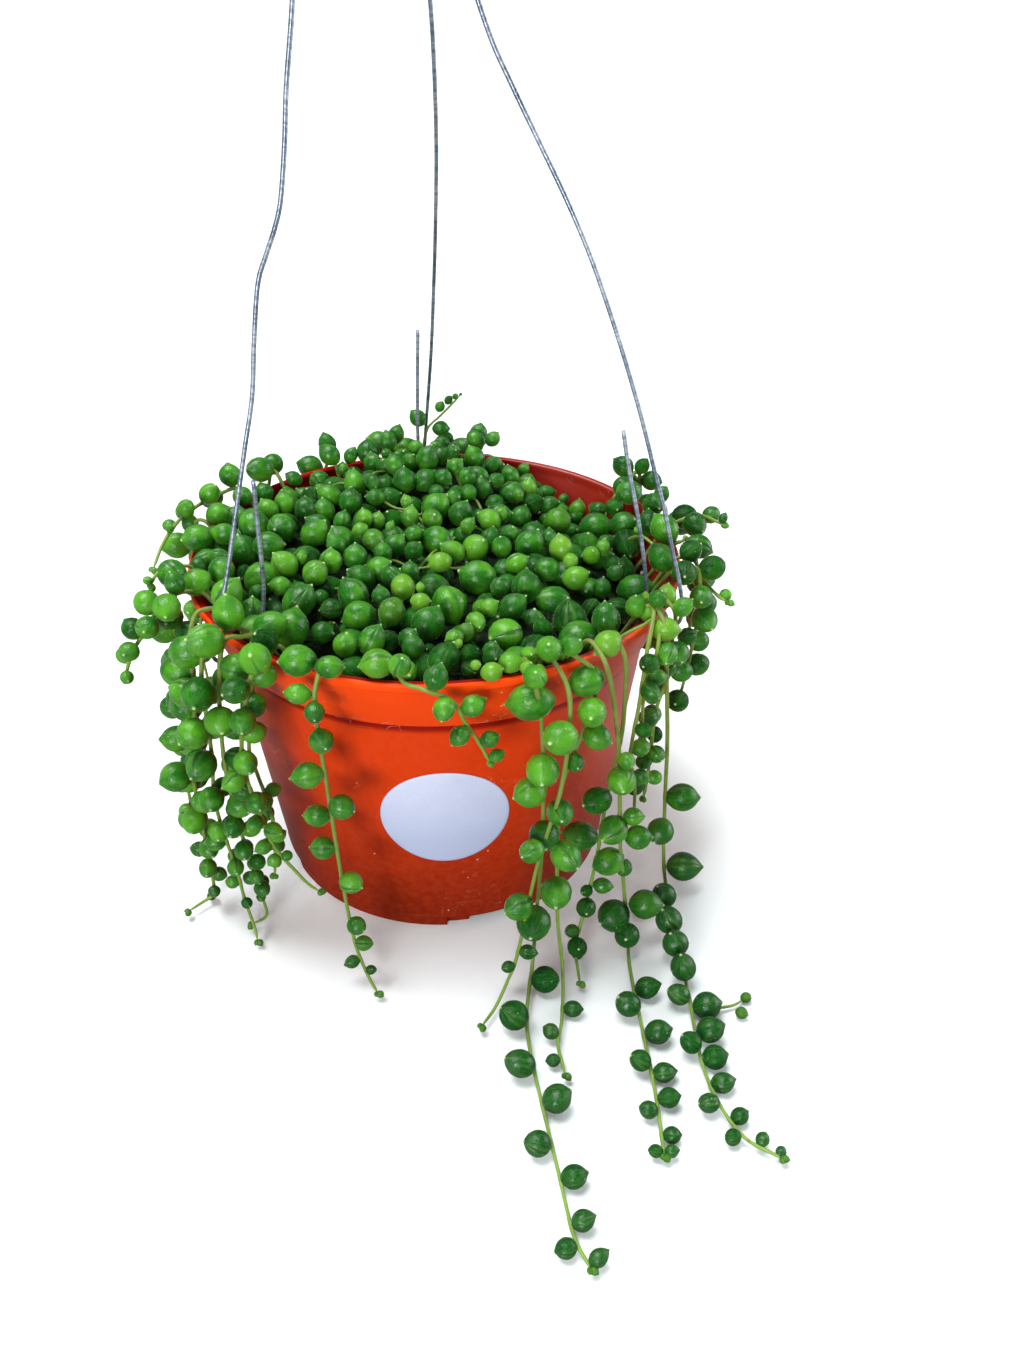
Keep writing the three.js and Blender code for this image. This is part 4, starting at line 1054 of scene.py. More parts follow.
def mat_top(x, y):
    """Height of the pearls' tops over the pot: higher at the left and at the back's middle."""
    high = 6 * bump_at(x, y, -50, -5, 28) + 10 * bump_at(x, y, 4, 50, 20) + 4 * bump_at(x, y, -30, 40, 18)
    low = 9 * bump_at(x, y, 48, 44, 18) + 5 * bump_at(x, y, -50, 52, 14) + 6 * bump_at(x, y, 52, -34, 12)
    return 111 + high - low


def wall_gap(p):
    """Distance from a point to the pot's profile, taken in its own radial plane."""
    spot = np.array([math.hypot(p[0], p[1]), p[2]])
    start, leg = WALL[:-1], np.diff(WALL, axis=0)
    t = np.clip(((spot - start) * leg).sum(1) / (leg**2).sum(1), 0, 1)
    return np.linalg.norm(spot - start - t[:, None] * leg, axis=1).min()


class Room:
    """The balls in place: centre and radius, owner, and whether a ball is part of a stem."""

    def __init__(self):
        self.balls, self.owner, self.rod = np.zeros((0, 4)), np.zeros(0, int), np.zeros(0, bool)
        self.owners = {}

    def key(self, owner):
        """An owner's number."""
        return self.owners.setdefault(owner, len(self.owners))

    def add(self, centres, radius, owner, rod):
        """Remember one ball or a row of them."""
        centres = np.atleast_2d(centres)
        rows = np.column_stack([centres, np.full(len(centres), radius)])
        self.balls = np.vstack([self.balls, rows])
        self.owner = np.append(self.owner, np.full(len(rows), self.key(owner)))
        self.rod = np.append(self.rod, np.full(len(rows), rod))

    def add_route(self, route, radius, owner):
        """Remember a wire or stem as a ball every millimetre."""
        self.add(route.at(np.arange(0, math.floor(route.length) + 1.0)), radius, owner, True)

    def fits(self, centre, radius, owner):
        """Is there room for a ball: off the floor, the wall, the mix, the mat's core and the others?"""
        reach = radius * TIP
        rho, foot = math.hypot(centre[0], centre[1]), centre[2] - reach
        if centre[2] - radius < 0.3 or wall_gap(centre) < reach + CLEARANCE:
            return False
        if rho < 69 and foot < SOIL_TOP + 1.2 + CLEARANCE:
            return False
        if rho - reach < CORE_RADIUS + CLEARANCE and foot < mat_top(*centre[:2]) - 6:
            return False
        own = self.owner == self.key(owner)
        gap = np.linalg.norm(self.balls[:, :3] - centre, axis=1) - reach - self.balls[:, 3]
        need = np.where(own, -OVERLAP * np.minimum(radius, self.balls[:, 3]), CLEARANCE)
        return not np.any((gap < need) & ~(own & self.rod))


room = Room()
for name, route_points in wire_routes.items():
    room.add_route(Route(route_points), WIRE_RADIUS, name)
for stem in TRAILS:
    room.add_route(stem["route"], STEM_RADIUS, stem["name"])
print("balls in place:", len(room.balls))

# %% [markdown]
# ## Pearls on a string
# A pearl sits beside its stem at its listed distance. If its place is taken it slides along the stem,
# swings round it, and at last shrinks a little. A bushy stem is then filled wherever a pearl still
# fits. The solids were filled by the same rule and draws, so the pearls coincide.

# %% Pearls on a string
PEARL_OFFSET = 1.12
SLIDES = (0, 1.5, -1.5)
SWINGS = np.radians([0, 28, -24, 55, -50, 85])


def pearl_size(stem, share):
    """Pearl radius at a share of the stem: even for most of its length, then falling off."""
    return stem["radii"][0] + (stem["radii"][1] - stem["radii"][0]) * share**2.5


def pearl_beside(stem, along, radius, swing, to_right):
    """(centre, radius, axis, along) of a pearl beside its stem, turned up from the side by swing.

    On the floor the turn is the one at which the ball just rests there.
    """
    point, ahead = stem["route"].at(along), stem["route"].tangent(along)
    rho = math.hypot(point[0], point[1])
    up = np.array([0.8 * point[0] / rho, 0.8 * point[1] / rho, 1.0])
    up = unit(up - up @ ahead * ahead)
    if point[2] < 4.5:
        lift = (radius + 0.45 - point[2]) / (PEARL_OFFSET * radius)
        swing = math.asin(min(1, max(-1, lift))) + 0.4 * swing
    angle = swing if to_right else math.pi - swing
    axis = math.cos(angle) * np.cross(up, ahead) + math.sin(angle) * up
    return point + axis * radius * PEARL_OFFSET, radius, axis, along


def settle(stem, pearl, room):
    """Keep a pearl if there is room for it."""
    if not room.fits(pearl[0], pearl[1], stem["name"]):
        return False
    stem["pearls"].append(pearl)
    room.add(pearl[0], pearl[1] * TIP, stem["name"], False)
    return True


def string_up(stem, order, room):
    """Hang the listed pearls on a stem, each at the first of 24 near places that has room."""
    draw, stem["pearls"] = Draw(900 + order), []
    for k, bead in enumerate(stem["beads"]):
        size = pearl_size(stem, k / max(1, len(stem["beads"]) - 1)) * (0.93 + 0.14 * draw())
        first = math.radians(5 + 35 * draw())
        for t in range(24):
            along = min(stem["route"].length - 0.6, abs(bead) + SLIDES[t % 3] * (1.5 if t > 7 else 1))
            radius = size * (1 if t < 12 else 0.86 if t < 18 else 0.72)
            swing = first + SWINGS[t // 3 % 6]
            if settle(stem, pearl_beside(stem, along, radius, swing, bead > 0), room):
                break


def fill_stem(stem, order, room):
    """A bushy stem also takes a pearl wherever one still fits round it."""
    draw, length = Draw(1300 + order), stem["route"].length
    for along in np.arange(16, 0.88 * length, 3.0):
        radius = pearl_size(stem, along / length) * (0.8 + 0.18 * draw())
        first = 2 * math.pi * draw()
        for t in range(6):
            if settle(stem, pearl_beside(stem, along, radius, first + t * math.pi / 3, True), room):
                break


for order, stem in enumerate(TRAILS):
    string_up(stem, order, room)
for order, stem in enumerate(TRAILS):
    if stem["bushy"]:
        fill_stem(stem, order, room)
print("pearls placed:", [len(s["pearls"]) for s in TRAILS])

# %% [markdown]
# ## The pearl
# A pearl is a leaf swollen into a ball to store water. It keeps a small point at its tip and a narrow
# dark window that runs from the stem to the tip and lets light in. One pearl is six rings of ten
# points and two poles, with the columns closest together beside the window, where a shallow crease is.
# The tip's pole is creased, so that the subdivision leaves it a sharp little point.
# All the pearls of a piece are turned, sized and placed together in one array operation.

# %% The pearl
COLUMNS = np.radians([0, 15, 48, 88, 132, 180, 228, 272, 312, 345])
LATITUDES = np.radians([30, 60, 88, 115, 141, 166])


def unit_pearl(conical):
    """Points and faces of a pearl of radius one with its tip on +Z, and each point's turn and rise.

    r = sin v and z = -cos v at latitude v, drawn in by 7 percent along the window; conical pulls the
    shoulders in and up towards the tip.
    """
    v, a = LATITUDES[:, None], COLUMNS[None, :]
    shoulder = conical * np.clip((v - 1.6) / 1.2, 0, 1)
    crease = 0.07 * np.exp(-((np.minimum(a, 2 * math.pi - a) / 0.14) ** 2)) * np.sin(v)
    r = 1.055 * np.sin(v) * (1 - 0.16 * shoulder) * (1 - crease)
    z = -1.04 * np.cos(v) + 0.12 * shoulder + 0 * a
    points, faces = skin(np.stack([r * np.cos(a), r * np.sin(a), z], -1))
    points[-2] = (0, 0, -1.2)
    points[-1] = (0, 0, 1.24 + 0.14 * conical)
    away = np.minimum(a, 2 * math.pi - a) / math.pi + 0 * v
    turn = np.append(away.ravel(), [0.5, 0.5])
    rise = np.append((v / math.pi + 0 * a).ravel(), [0.0, 1.0])
    return points, faces, turn, rise


def pearl_frames(centre, axis, draw):
    """Each pearl's own directions: its window's side, the one square to it, and its tip's.

    The window would look up and outwards, give or take a draw, and the part of that along the tip is
    taken away.
    """
    outward = centre * np.array([1, 1, 0]) / 80.0
    wish = outward + np.array([0, 0, 0.8]) + draw.normal(0, 0.75, centre.shape)
    slit = unit(wish - (wish * axis).sum(1, keepdims=True) * axis)
    return np.stack([slit, np.cross(axis, slit), axis], 1)


def pearl_part(pearls, material, seed):
    """One part from many pearls: rows of (centre, radius, axis, fresh, tone); tone None is drawn."""
    draw, count = np.random.default_rng(seed), len(pearls)
    centre, radius, axis, fresh = (np.array([p[k] for p in pearls], float) for k in range(4))
    round_one, faces, turn, rise = unit_pearl(0.0)
    pointed = unit_pearl(1.0)[0]
    share = draw.uniform(0, 1, count) ** 1.5
    share[fresh > 0.5] *= 0.4
    body = round_one + share[:, None, None] * (pointed - round_one)
    body = body * (1 + draw.normal(0, 0.03, (count, 1, 3)))
    frames = pearl_frames(centre, axis, draw)
    points = centre[:, None] + radius[:, None, None] * np.einsum("nvi,nij->nvj", body, frames)
    # low: nearness to the floor, for the painted shade that makes pearls there darker and bluer.
    low = np.clip((32 - centre[:, 2]) / 26, 0, 1)
    front = np.clip((-centre[:, 1] - 62) / 12, 0, 1) * (1 - low)
    left = np.clip((-centre[:, 0] - 30) / 40, 0, 1)
    drawn = draw.normal(0.5, 0.22, count)
    tone = np.array([d if p[4] is None else p[4] for p, d in zip(pearls, drawn)])
    # The tone is lowered near the floor, a painted shade, and raised on the left and at the front.
    tone = np.clip(tone - 0.1 * low + 0.2 * left + 0.15 * front, 0, 1)
    window = np.clip(draw.normal(0.45, 0.45, count), 0, 1) * (1 - fresh)
    each, lot = len(round_one), draw.uniform(0, 9, count)
    # under: how far each point faces down, for the painted light that makes each pearl's underside lighter.
    under = np.clip(-np.einsum("nvi,nij->nvj", round_one[None], frames)[..., 2], 0, 1)
    sharp = np.where(np.arange(each) == each - 1, 0.8, 0.0)
    shift = np.arange(count) * each
    marks = {"turn": turn, "rise": rise, "crease_vert": sharp}
    marks = {name: np.tile(values, count) for name, values in marks.items()}
    whole = {"tone": tone, "fresh": fresh, "window": window, "low": low, "lot": lot}
    marks |= {name: np.repeat(values, each) for name, values in whole.items()}
    marks["under"] = under.ravel()
    all_faces = [[i + s for i in face] for s in shift for face in faces]
    return points.reshape(-1, 3), all_faces, material, marks


print("one pearl:", len(unit_pearl(0.0)[1]), "faces")

# %% [markdown]
# ## The pearl's skin
# Each pearl has its own tone, and every point knows how far it has turned from the window and risen
# towards the tip. From these marks come the fine veins, the dark window with its pale rim, and the
# light tip. Pearls near the floor are made deeper and bluer, a painted shade, and the underside of
# every pearl lighter and yellower, a painted light. Young ones are yellow-green.

# %% The pearl's skin
def make_leaf():
    """The pearl's skin: deep to mid green by each pearl's tone, partly painted shade, yellow-green when
    young, with window, veins and bloom.
    """
    material, tree, shader = new_finish("pearl_skin")
    turn, rise, tone, fresh, low, under = map(tree.mark, ("turn", "rise", "tone", "fresh", "low", "under"))
    soft = tree.group(MOTTLE, Scale=170.0, Low=0.3, High=0.7)
    fine = tree.group(MOTTLE, Scale=1500.0, Low=0.35, High=0.65)
    shade = tree.math("ADD", tone, tree.times(tree.minus(soft, 0.5), 0.5), clamp=True)
    ramp = tree.add("ValToRGB", {0: shade})
    stops, green = ramp.color_ramp.elements, ramp.outputs["Color"]
    stops[0].color, stops[1].color = (0.0008, 0.030, 0.004, 1), (0.082, 0.320, 0.013, 1)
    stops.new(0.5).color = (0.010, 0.127, 0.006, 1)
    # Painted light: each pearl's underside is made lighter and yellower, as if lit through from below.
    green = tree.tint(green, under, 0.5, (0.12, 0.27, 0.007))
    # Painted shade: pearls near the floor are made deeper and bluer.
    green = tree.tint(green, low, 0.92, (0.002, 0.056, 0.008))
    green = tree.blend(fresh, green, (0.13, 0.33, 0.018, 1))
    lines = {0: tree.times(turn, 26.0), 1: tree.times(rise, 3.0), 2: tree.mark("lot")}
    lines = tree.add("CombineXYZ", lines).outputs[0]
    veins = tree.add("TexNoise", {"Vector": lines, "Scale": 1.0, "Detail": 2.0}).outputs["Fac"]
    vein = tree.between(veins, 0.45, 0.65)
    green = tree.tint(green, vein, 0.16, (0.10, 0.28, 0.04))
    green = tree.tint(green, fine, 0.10, (0.08, 0.25, 0.04))
    half, window = tree.times(tree.math("SINE", tree.times(rise, math.pi)), 0.040), tree.mark("window")
    beside = tree.minus(turn, half)
    slit = tree.times(tree.between(beside, 0.030, -0.026), window)
    halo = tree.times(tree.between(beside, 0.10, 0.0), window)
    green = tree.tint(green, halo, 0.25, (0.13, 0.31, 0.06))
    green = tree.tint(green, slit, 0.66, (0.003, 0.040, 0.008))
    tip = tree.between(rise, 0.955, 0.995)
    green = tree.blend(tip, green, (0.55, 0.72, 0.32, 1))
    dust = tree.group(SPECKS, Scale=900.0, Size=0.16, Share=0.06)
    green = tree.tint(green, dust, 0.4, (0.7, 0.8, 0.65))
    relief = tree.minus(tree.times(tree.plus(vein, fine), 0.18), slit)
    rough = tree.between(fine, 0.0, 1.0, 0.12, 0.24)
    # Pearls of low tone, among them those darkened as painted shade, reflect less as well.
    gloss = tree.between(tone, 0.05, 0.55, 0.05, 0.34)
    dress(tree, shader, Base_Color=green, Roughness=rough, Normal=bump(tree, relief, 0.00025, 0.8))
    dress(tree, shader, Subsurface_Weight=0.15, Subsurface_Scale=0.003, Subsurface_Radius=(0.6, 1.0, 0.3))
    dress(tree, shader, Specular_IOR_Level=gloss)
    dress(tree, shader, Sheen_Weight=0.45, Sheen_Roughness=0.14, Sheen_Tint=(0.75, 1.0, 0.55, 1.0))
    return material


LEAF = make_leaf()
print("nodes in the pearl's skin:", len(LEAF.node_tree.nodes))

# %% [markdown]
# ## The stem
# A stem is a soft green cord, thinner and greener towards its growing end. It swells a little at each
# joint where a pearl sits, so the radius is a taper plus one small hump at every pearl.

# %% The stem
def make_vine():
    """The stem's skin: pale olive green, browner near the root, with soft mottling and a few brown scars."""
    material, tree, shader = new_finish("stem_skin")
    soft = tree.group(MOTTLE, Scale=300.0, Low=0.3, High=0.7)
    age = tree.mark("age")
    young, old = (0.16, 0.31, 0.035, 1), (0.15, 0.18, 0.03, 1)
    colour = tree.blend(age, young, old)
    colour = tree.tint(colour, soft, 0.4, (0.24, 0.33, 0.09))
    scars = tree.group(SPECKS, Scale=260.0, Size=0.22, Share=0.10)
    colour = tree.tint(colour, scars, 0.6, (0.16, 0.09, 0.04))
    rough = tree.between(soft, 0.0, 1.0, 0.40, 0.60)
    dress(tree, shader, Base_Color=colour, Roughness=rough, Normal=bump(tree, soft, 0.0002, 0.6))
    dress(tree, shader, Subsurface_Weight=0.1, Subsurface_Scale=0.002, Subsurface_Radius=(0.6, 1.0, 0.3))
    dress(tree, shader, Specular_IOR_Level=0.3)
    return material


VINE = make_vine()
VINE_SIDES, STEP = 6, 1.6


def vine_part(route, thick, thin, joints):
    """The stem's tube: radius from thick to thin, plus a hump 1 mm wide at each joint."""
    along = np.linspace(0, route.length, max(4, round(route.length / STEP)))
    share = along / route.length
    joints = np.asarray(joints, float).reshape(-1, 1)
    humps = np.exp(-(((along - joints) / 1.0) ** 2)).sum(0) if len(joints) else 0 * along
    radii = thick + (thin - thick) * share + 0.22 * np.minimum(humps, 1)
    radii[-1] *= 0.5
    points, faces = skin(tube(route, along, radii, VINE_SIDES))
    age = np.append(np.repeat(1 - share, VINE_SIDES), [1.0, 0.0])
    return points, faces, VINE, {"age": age}


def grown(name, stem, seed, replaces=()):
    """A whole stem with its pearls and a pair of tiny leaf buds at its end, as one piece."""
    route, pearls = stem["route"], stem["pearls"]
    rows = [(centre, radius, axis, 0.0, None) for centre, radius, axis, _ in pearls]
    ahead = route.tangent(route.length)
    sideways = unit(np.cross(ahead, (0.2, 0.1, 1.0)))
    for lean, size in ((-0.5, 1.15), (0.6, 0.85)):
        axis = unit(ahead + lean * sideways)
        rows.append((route.at(route.length) + axis * size * 1.1, size, axis, 0.35, None))
    vine = vine_part(route, 0.84, 0.56, [p[3] for p in pearls])
    return new_piece(name, [vine, pearl_part(rows, LEAF, seed)], replaces, level=1)


print("one vine:", len(vine_part(quarter, 0.8, 0.5, [9.0])[1]), "faces")

# %% [markdown]
# ## Stems that only the picture needs
# Four thin stems hang so close behind others that the solids leave them out. They grow by the same
# rule here, and keep clear of everything that is already in place.

# %% Stems that only the picture needs
THIN_STEM_RADIUS = 0.3
EXTRAS = [
    trail("right_inner", -36, (3.4, 2.4),
          [(59, -57, 103), (57, -56, 96), (57, -55, 83), (58, -54, 72)],
          [21, -29, 39, -47, 55, -61]),
    trail("right_low", -39, (3.2, 2),
          [(56, -58, 104), (55, -59, 88), (54, -58, 69), (57, -54, 54), (58, -53, 36)],
          [25, -35, 53, -65, 75, -85, 95]),
    trail("left_thin", -130, (2.8, 1.8),
          [(-49, -61, 106), (-51, -60, 92), (-54, -58, 76), (-53, -57, 66), (-51, -57, 54),
           (-51, -55, 41), (-53, -54, 24)],
          [-19, 55, -69, 83, -95, 103, -107, 111]),
    trail("left_sprig", -168, (3.8, 1.5),
          [(-76, -19, 113), (-78, -22, 114), (-80, -24, 113), (-81, -25, 111)],
          [-11, 17, -23, 39]),
]
for order, stem in enumerate(EXTRAS):
    room.add_route(stem["route"], THIN_STEM_RADIUS, stem["name"])
    string_up(stem, 40 + order, room)
print("extra pearls:", [len(s["pearls"]) for s in EXTRAS])

# %% [markdown]
# ## Pearls of the open strands
# The strands in front of the pot hang so openly that their pearls were measured as well: x, y, z and
# radius in millimetres. On these stems the rule's own pearls stay only below the height given first,
# and only where they leave room. Each measured pearl points away from the nearest spot of its stem.

# %% Pearls of the open strands
STRANDS = {
    "stem_front_fork": (20, [
        (23, -75, 101, 5.6), (30, -83, 95, 4.8), (23, -87, 60, 3.6), (20, -85, 37, 4.2),
    ]),
    "stem_front_long": (14, [
        (26, -81, 83, 4.8), (23, -79, 74, 4.5), (27, -80, 59, 4.6), (25, -81, 26, 5.6),
    ]),
    "stem_front_thin": (12, [
        (31, -82, 69, 4.1), (33, -83, 54, 4.6), (39, -75, 97, 4.4), (41, -74, 88, 3.7),
        (35, -77, 82, 2.8), (31, -82, 39, 4.9),
    ]),
    "stem_front_side": (12, [
        (40, -63, 43, 5.1), (44, -65, 58, 4.5), (38, -69, 103, 4.8), (42, -70, 20, 3.2),
        (47, -67, 26, 2.7), (42, -68, 25, 2.0), (39, -75, 8, 3.3),
    ]),
    "stem_right_front": (12, [
        (48, -71, 52, 4.5), (48, -68, 37, 4.4), (54, -63, 29, 2.7), (56, -69, 47, 3.8),
        (49, -72, 71, 4.3), (51, -68, 14, 5.3), (61, -66, 16, 4.9), (55, -71, 8, 4.1),
        (50, -72, 78, 2.6), (54, -69, 55, 2.9),
    ]),
    "stem_right_long": (8, [
        (78, -44, 10, 5.1), (69, -44, 26, 4.7), (75, -43, 39, 4.9), (62, -56, 102, 3.4),
    ]),
    "stem_right_back_inner": (105, [
        (63, -52, 64, 2.9), (60, -50, 60, 2.6), (60, -50, 76, 3.2), (58, -49, 49, 2.6),
    ]),
    "stem_right_rim": (999, [
        (72, -35, 71, 3.7), (73, -32, 80, 3.6), (79, -27, 79, 4.0), (78, -32, 98, 4.1),
        (74, -30, 91, 3.0),
    ]),
    "stem_front_left": (88, [
        (-36, -75, 106, 3.0), (-32, -78, 102, 2.9), (-31, -78, 93, 3.4),
    ]),
}


def hang(stem, below, rows):
    """Give a stem its measured pearls and keep the rule's own ones under a height, if they are clear."""
    along = np.arange(0, stem["route"].length, 0.5)
    line, measured_ones = stem["route"].at(along), []
    kept = [p for p in stem["pearls"] if p[0][2] < below]
    for *centre, radius in rows:
        centre = np.array(centre, float)
        nearest = np.linalg.norm(line - centre, axis=1).argmin()
        measured_ones.append((centre, radius, unit(centre - line[nearest]), along[nearest]))
        kept = [p for p in kept if np.linalg.norm(p[0] - centre) > 0.9 * (p[1] + radius)]
    stem["pearls"] = kept + measured_ones


for stem in TRAILS:
    if stem["name"] in STRANDS:
        hang(stem, *STRANDS[stem["name"]])
print("pearls on the open strands:", {name: len(rows) for name, (_, rows) in STRANDS.items()})

# %% [markdown]
# ## Four young shoots
# A sprig stands up beside the hanger's back wire, a short twig leaves the right strand where it lies
# on the floor, and two young runners cross the hollow and the lip at the right. Each has its
# freshness, the points of its vine and (x, y, z, radius) of its pearls, which turn away from its start.

# %% Four young shoots
SHOOTS = {
    "trail_back_sprig": (
        0.0,
        [(-4, 70, 109), (-2, 73, 117), (2.6, 73, 121.6), (6.5, 73, 125.5), (10.1, 73, 129.4)],
        [(-5.2, 73.5, 120.9, 3.2), (2.9, 73.5, 116.8, 2.9), (5, 73.5, 113.4, 2.4), (2.8, 73.2, 125.1, 1.9),
         (5.9, 73.1, 127.5, 1.6), (8.3, 73, 128.9, 1.1), (10.2, 73, 129.6, 0.6)]),
    "trail_right_twig": (
        0.3,
        [(76, -96, 2.6), (81, -95.4, 2), (84.5, -94.6, 1.8), (87, -93, 1.9)],
        [(88.1, -92.3, 2, 1.7), (85.4, -98, 2.2, 1.9)]),
    "trail_hollow_runner": (
        0.5,
        [(60, 1, 108), (62.8, -4.7, 112), (66.1, -12.1, 112), (70.3, -18.2, 110.5), (73.5, -22, 108.5)],
        [(61.5, -3.5, 113.4, 1.0)]),
    "trail_lip_runner": (
        0.7,
        [(46.5, -57.5, 106.5), (50.1, -55.4, 108.5), (56.5, -51.3, 109.2), (62.3, -45.5, 110)],
        [(57.8, -42.4, 112, 1.1), (58.2, -45.6, 109, 2.7)]),
}
for order, (name, (fresh, course, spots)) in enumerate(SHOOTS.items()):
    rows = [(spot[:3], spot[3], unit(np.subtract(spot[:3], course[1])), fresh, None) for spot in spots]
    parts = [vine_part(Route(course), 0.62, 0.45, []), pearl_part(rows, LEAF, 240 + order)]
    new_piece(name, parts, level=1)
print("shoots:", len(SHOOTS))

# %% [markdown]
# ## Pearls that the picture shows
# Over the pot the stems cross so thickly that only pearls show. Those that can be told apart in the
# picture were measured with the solved camera, in whole millimetres: x, y, z, radius, and the way the
# tip points as it is seen, in degrees from the right, or None. Bright and light ones are young shoots,
# deep ones lie in the shade under the others and get a low tone, which is painted shade.

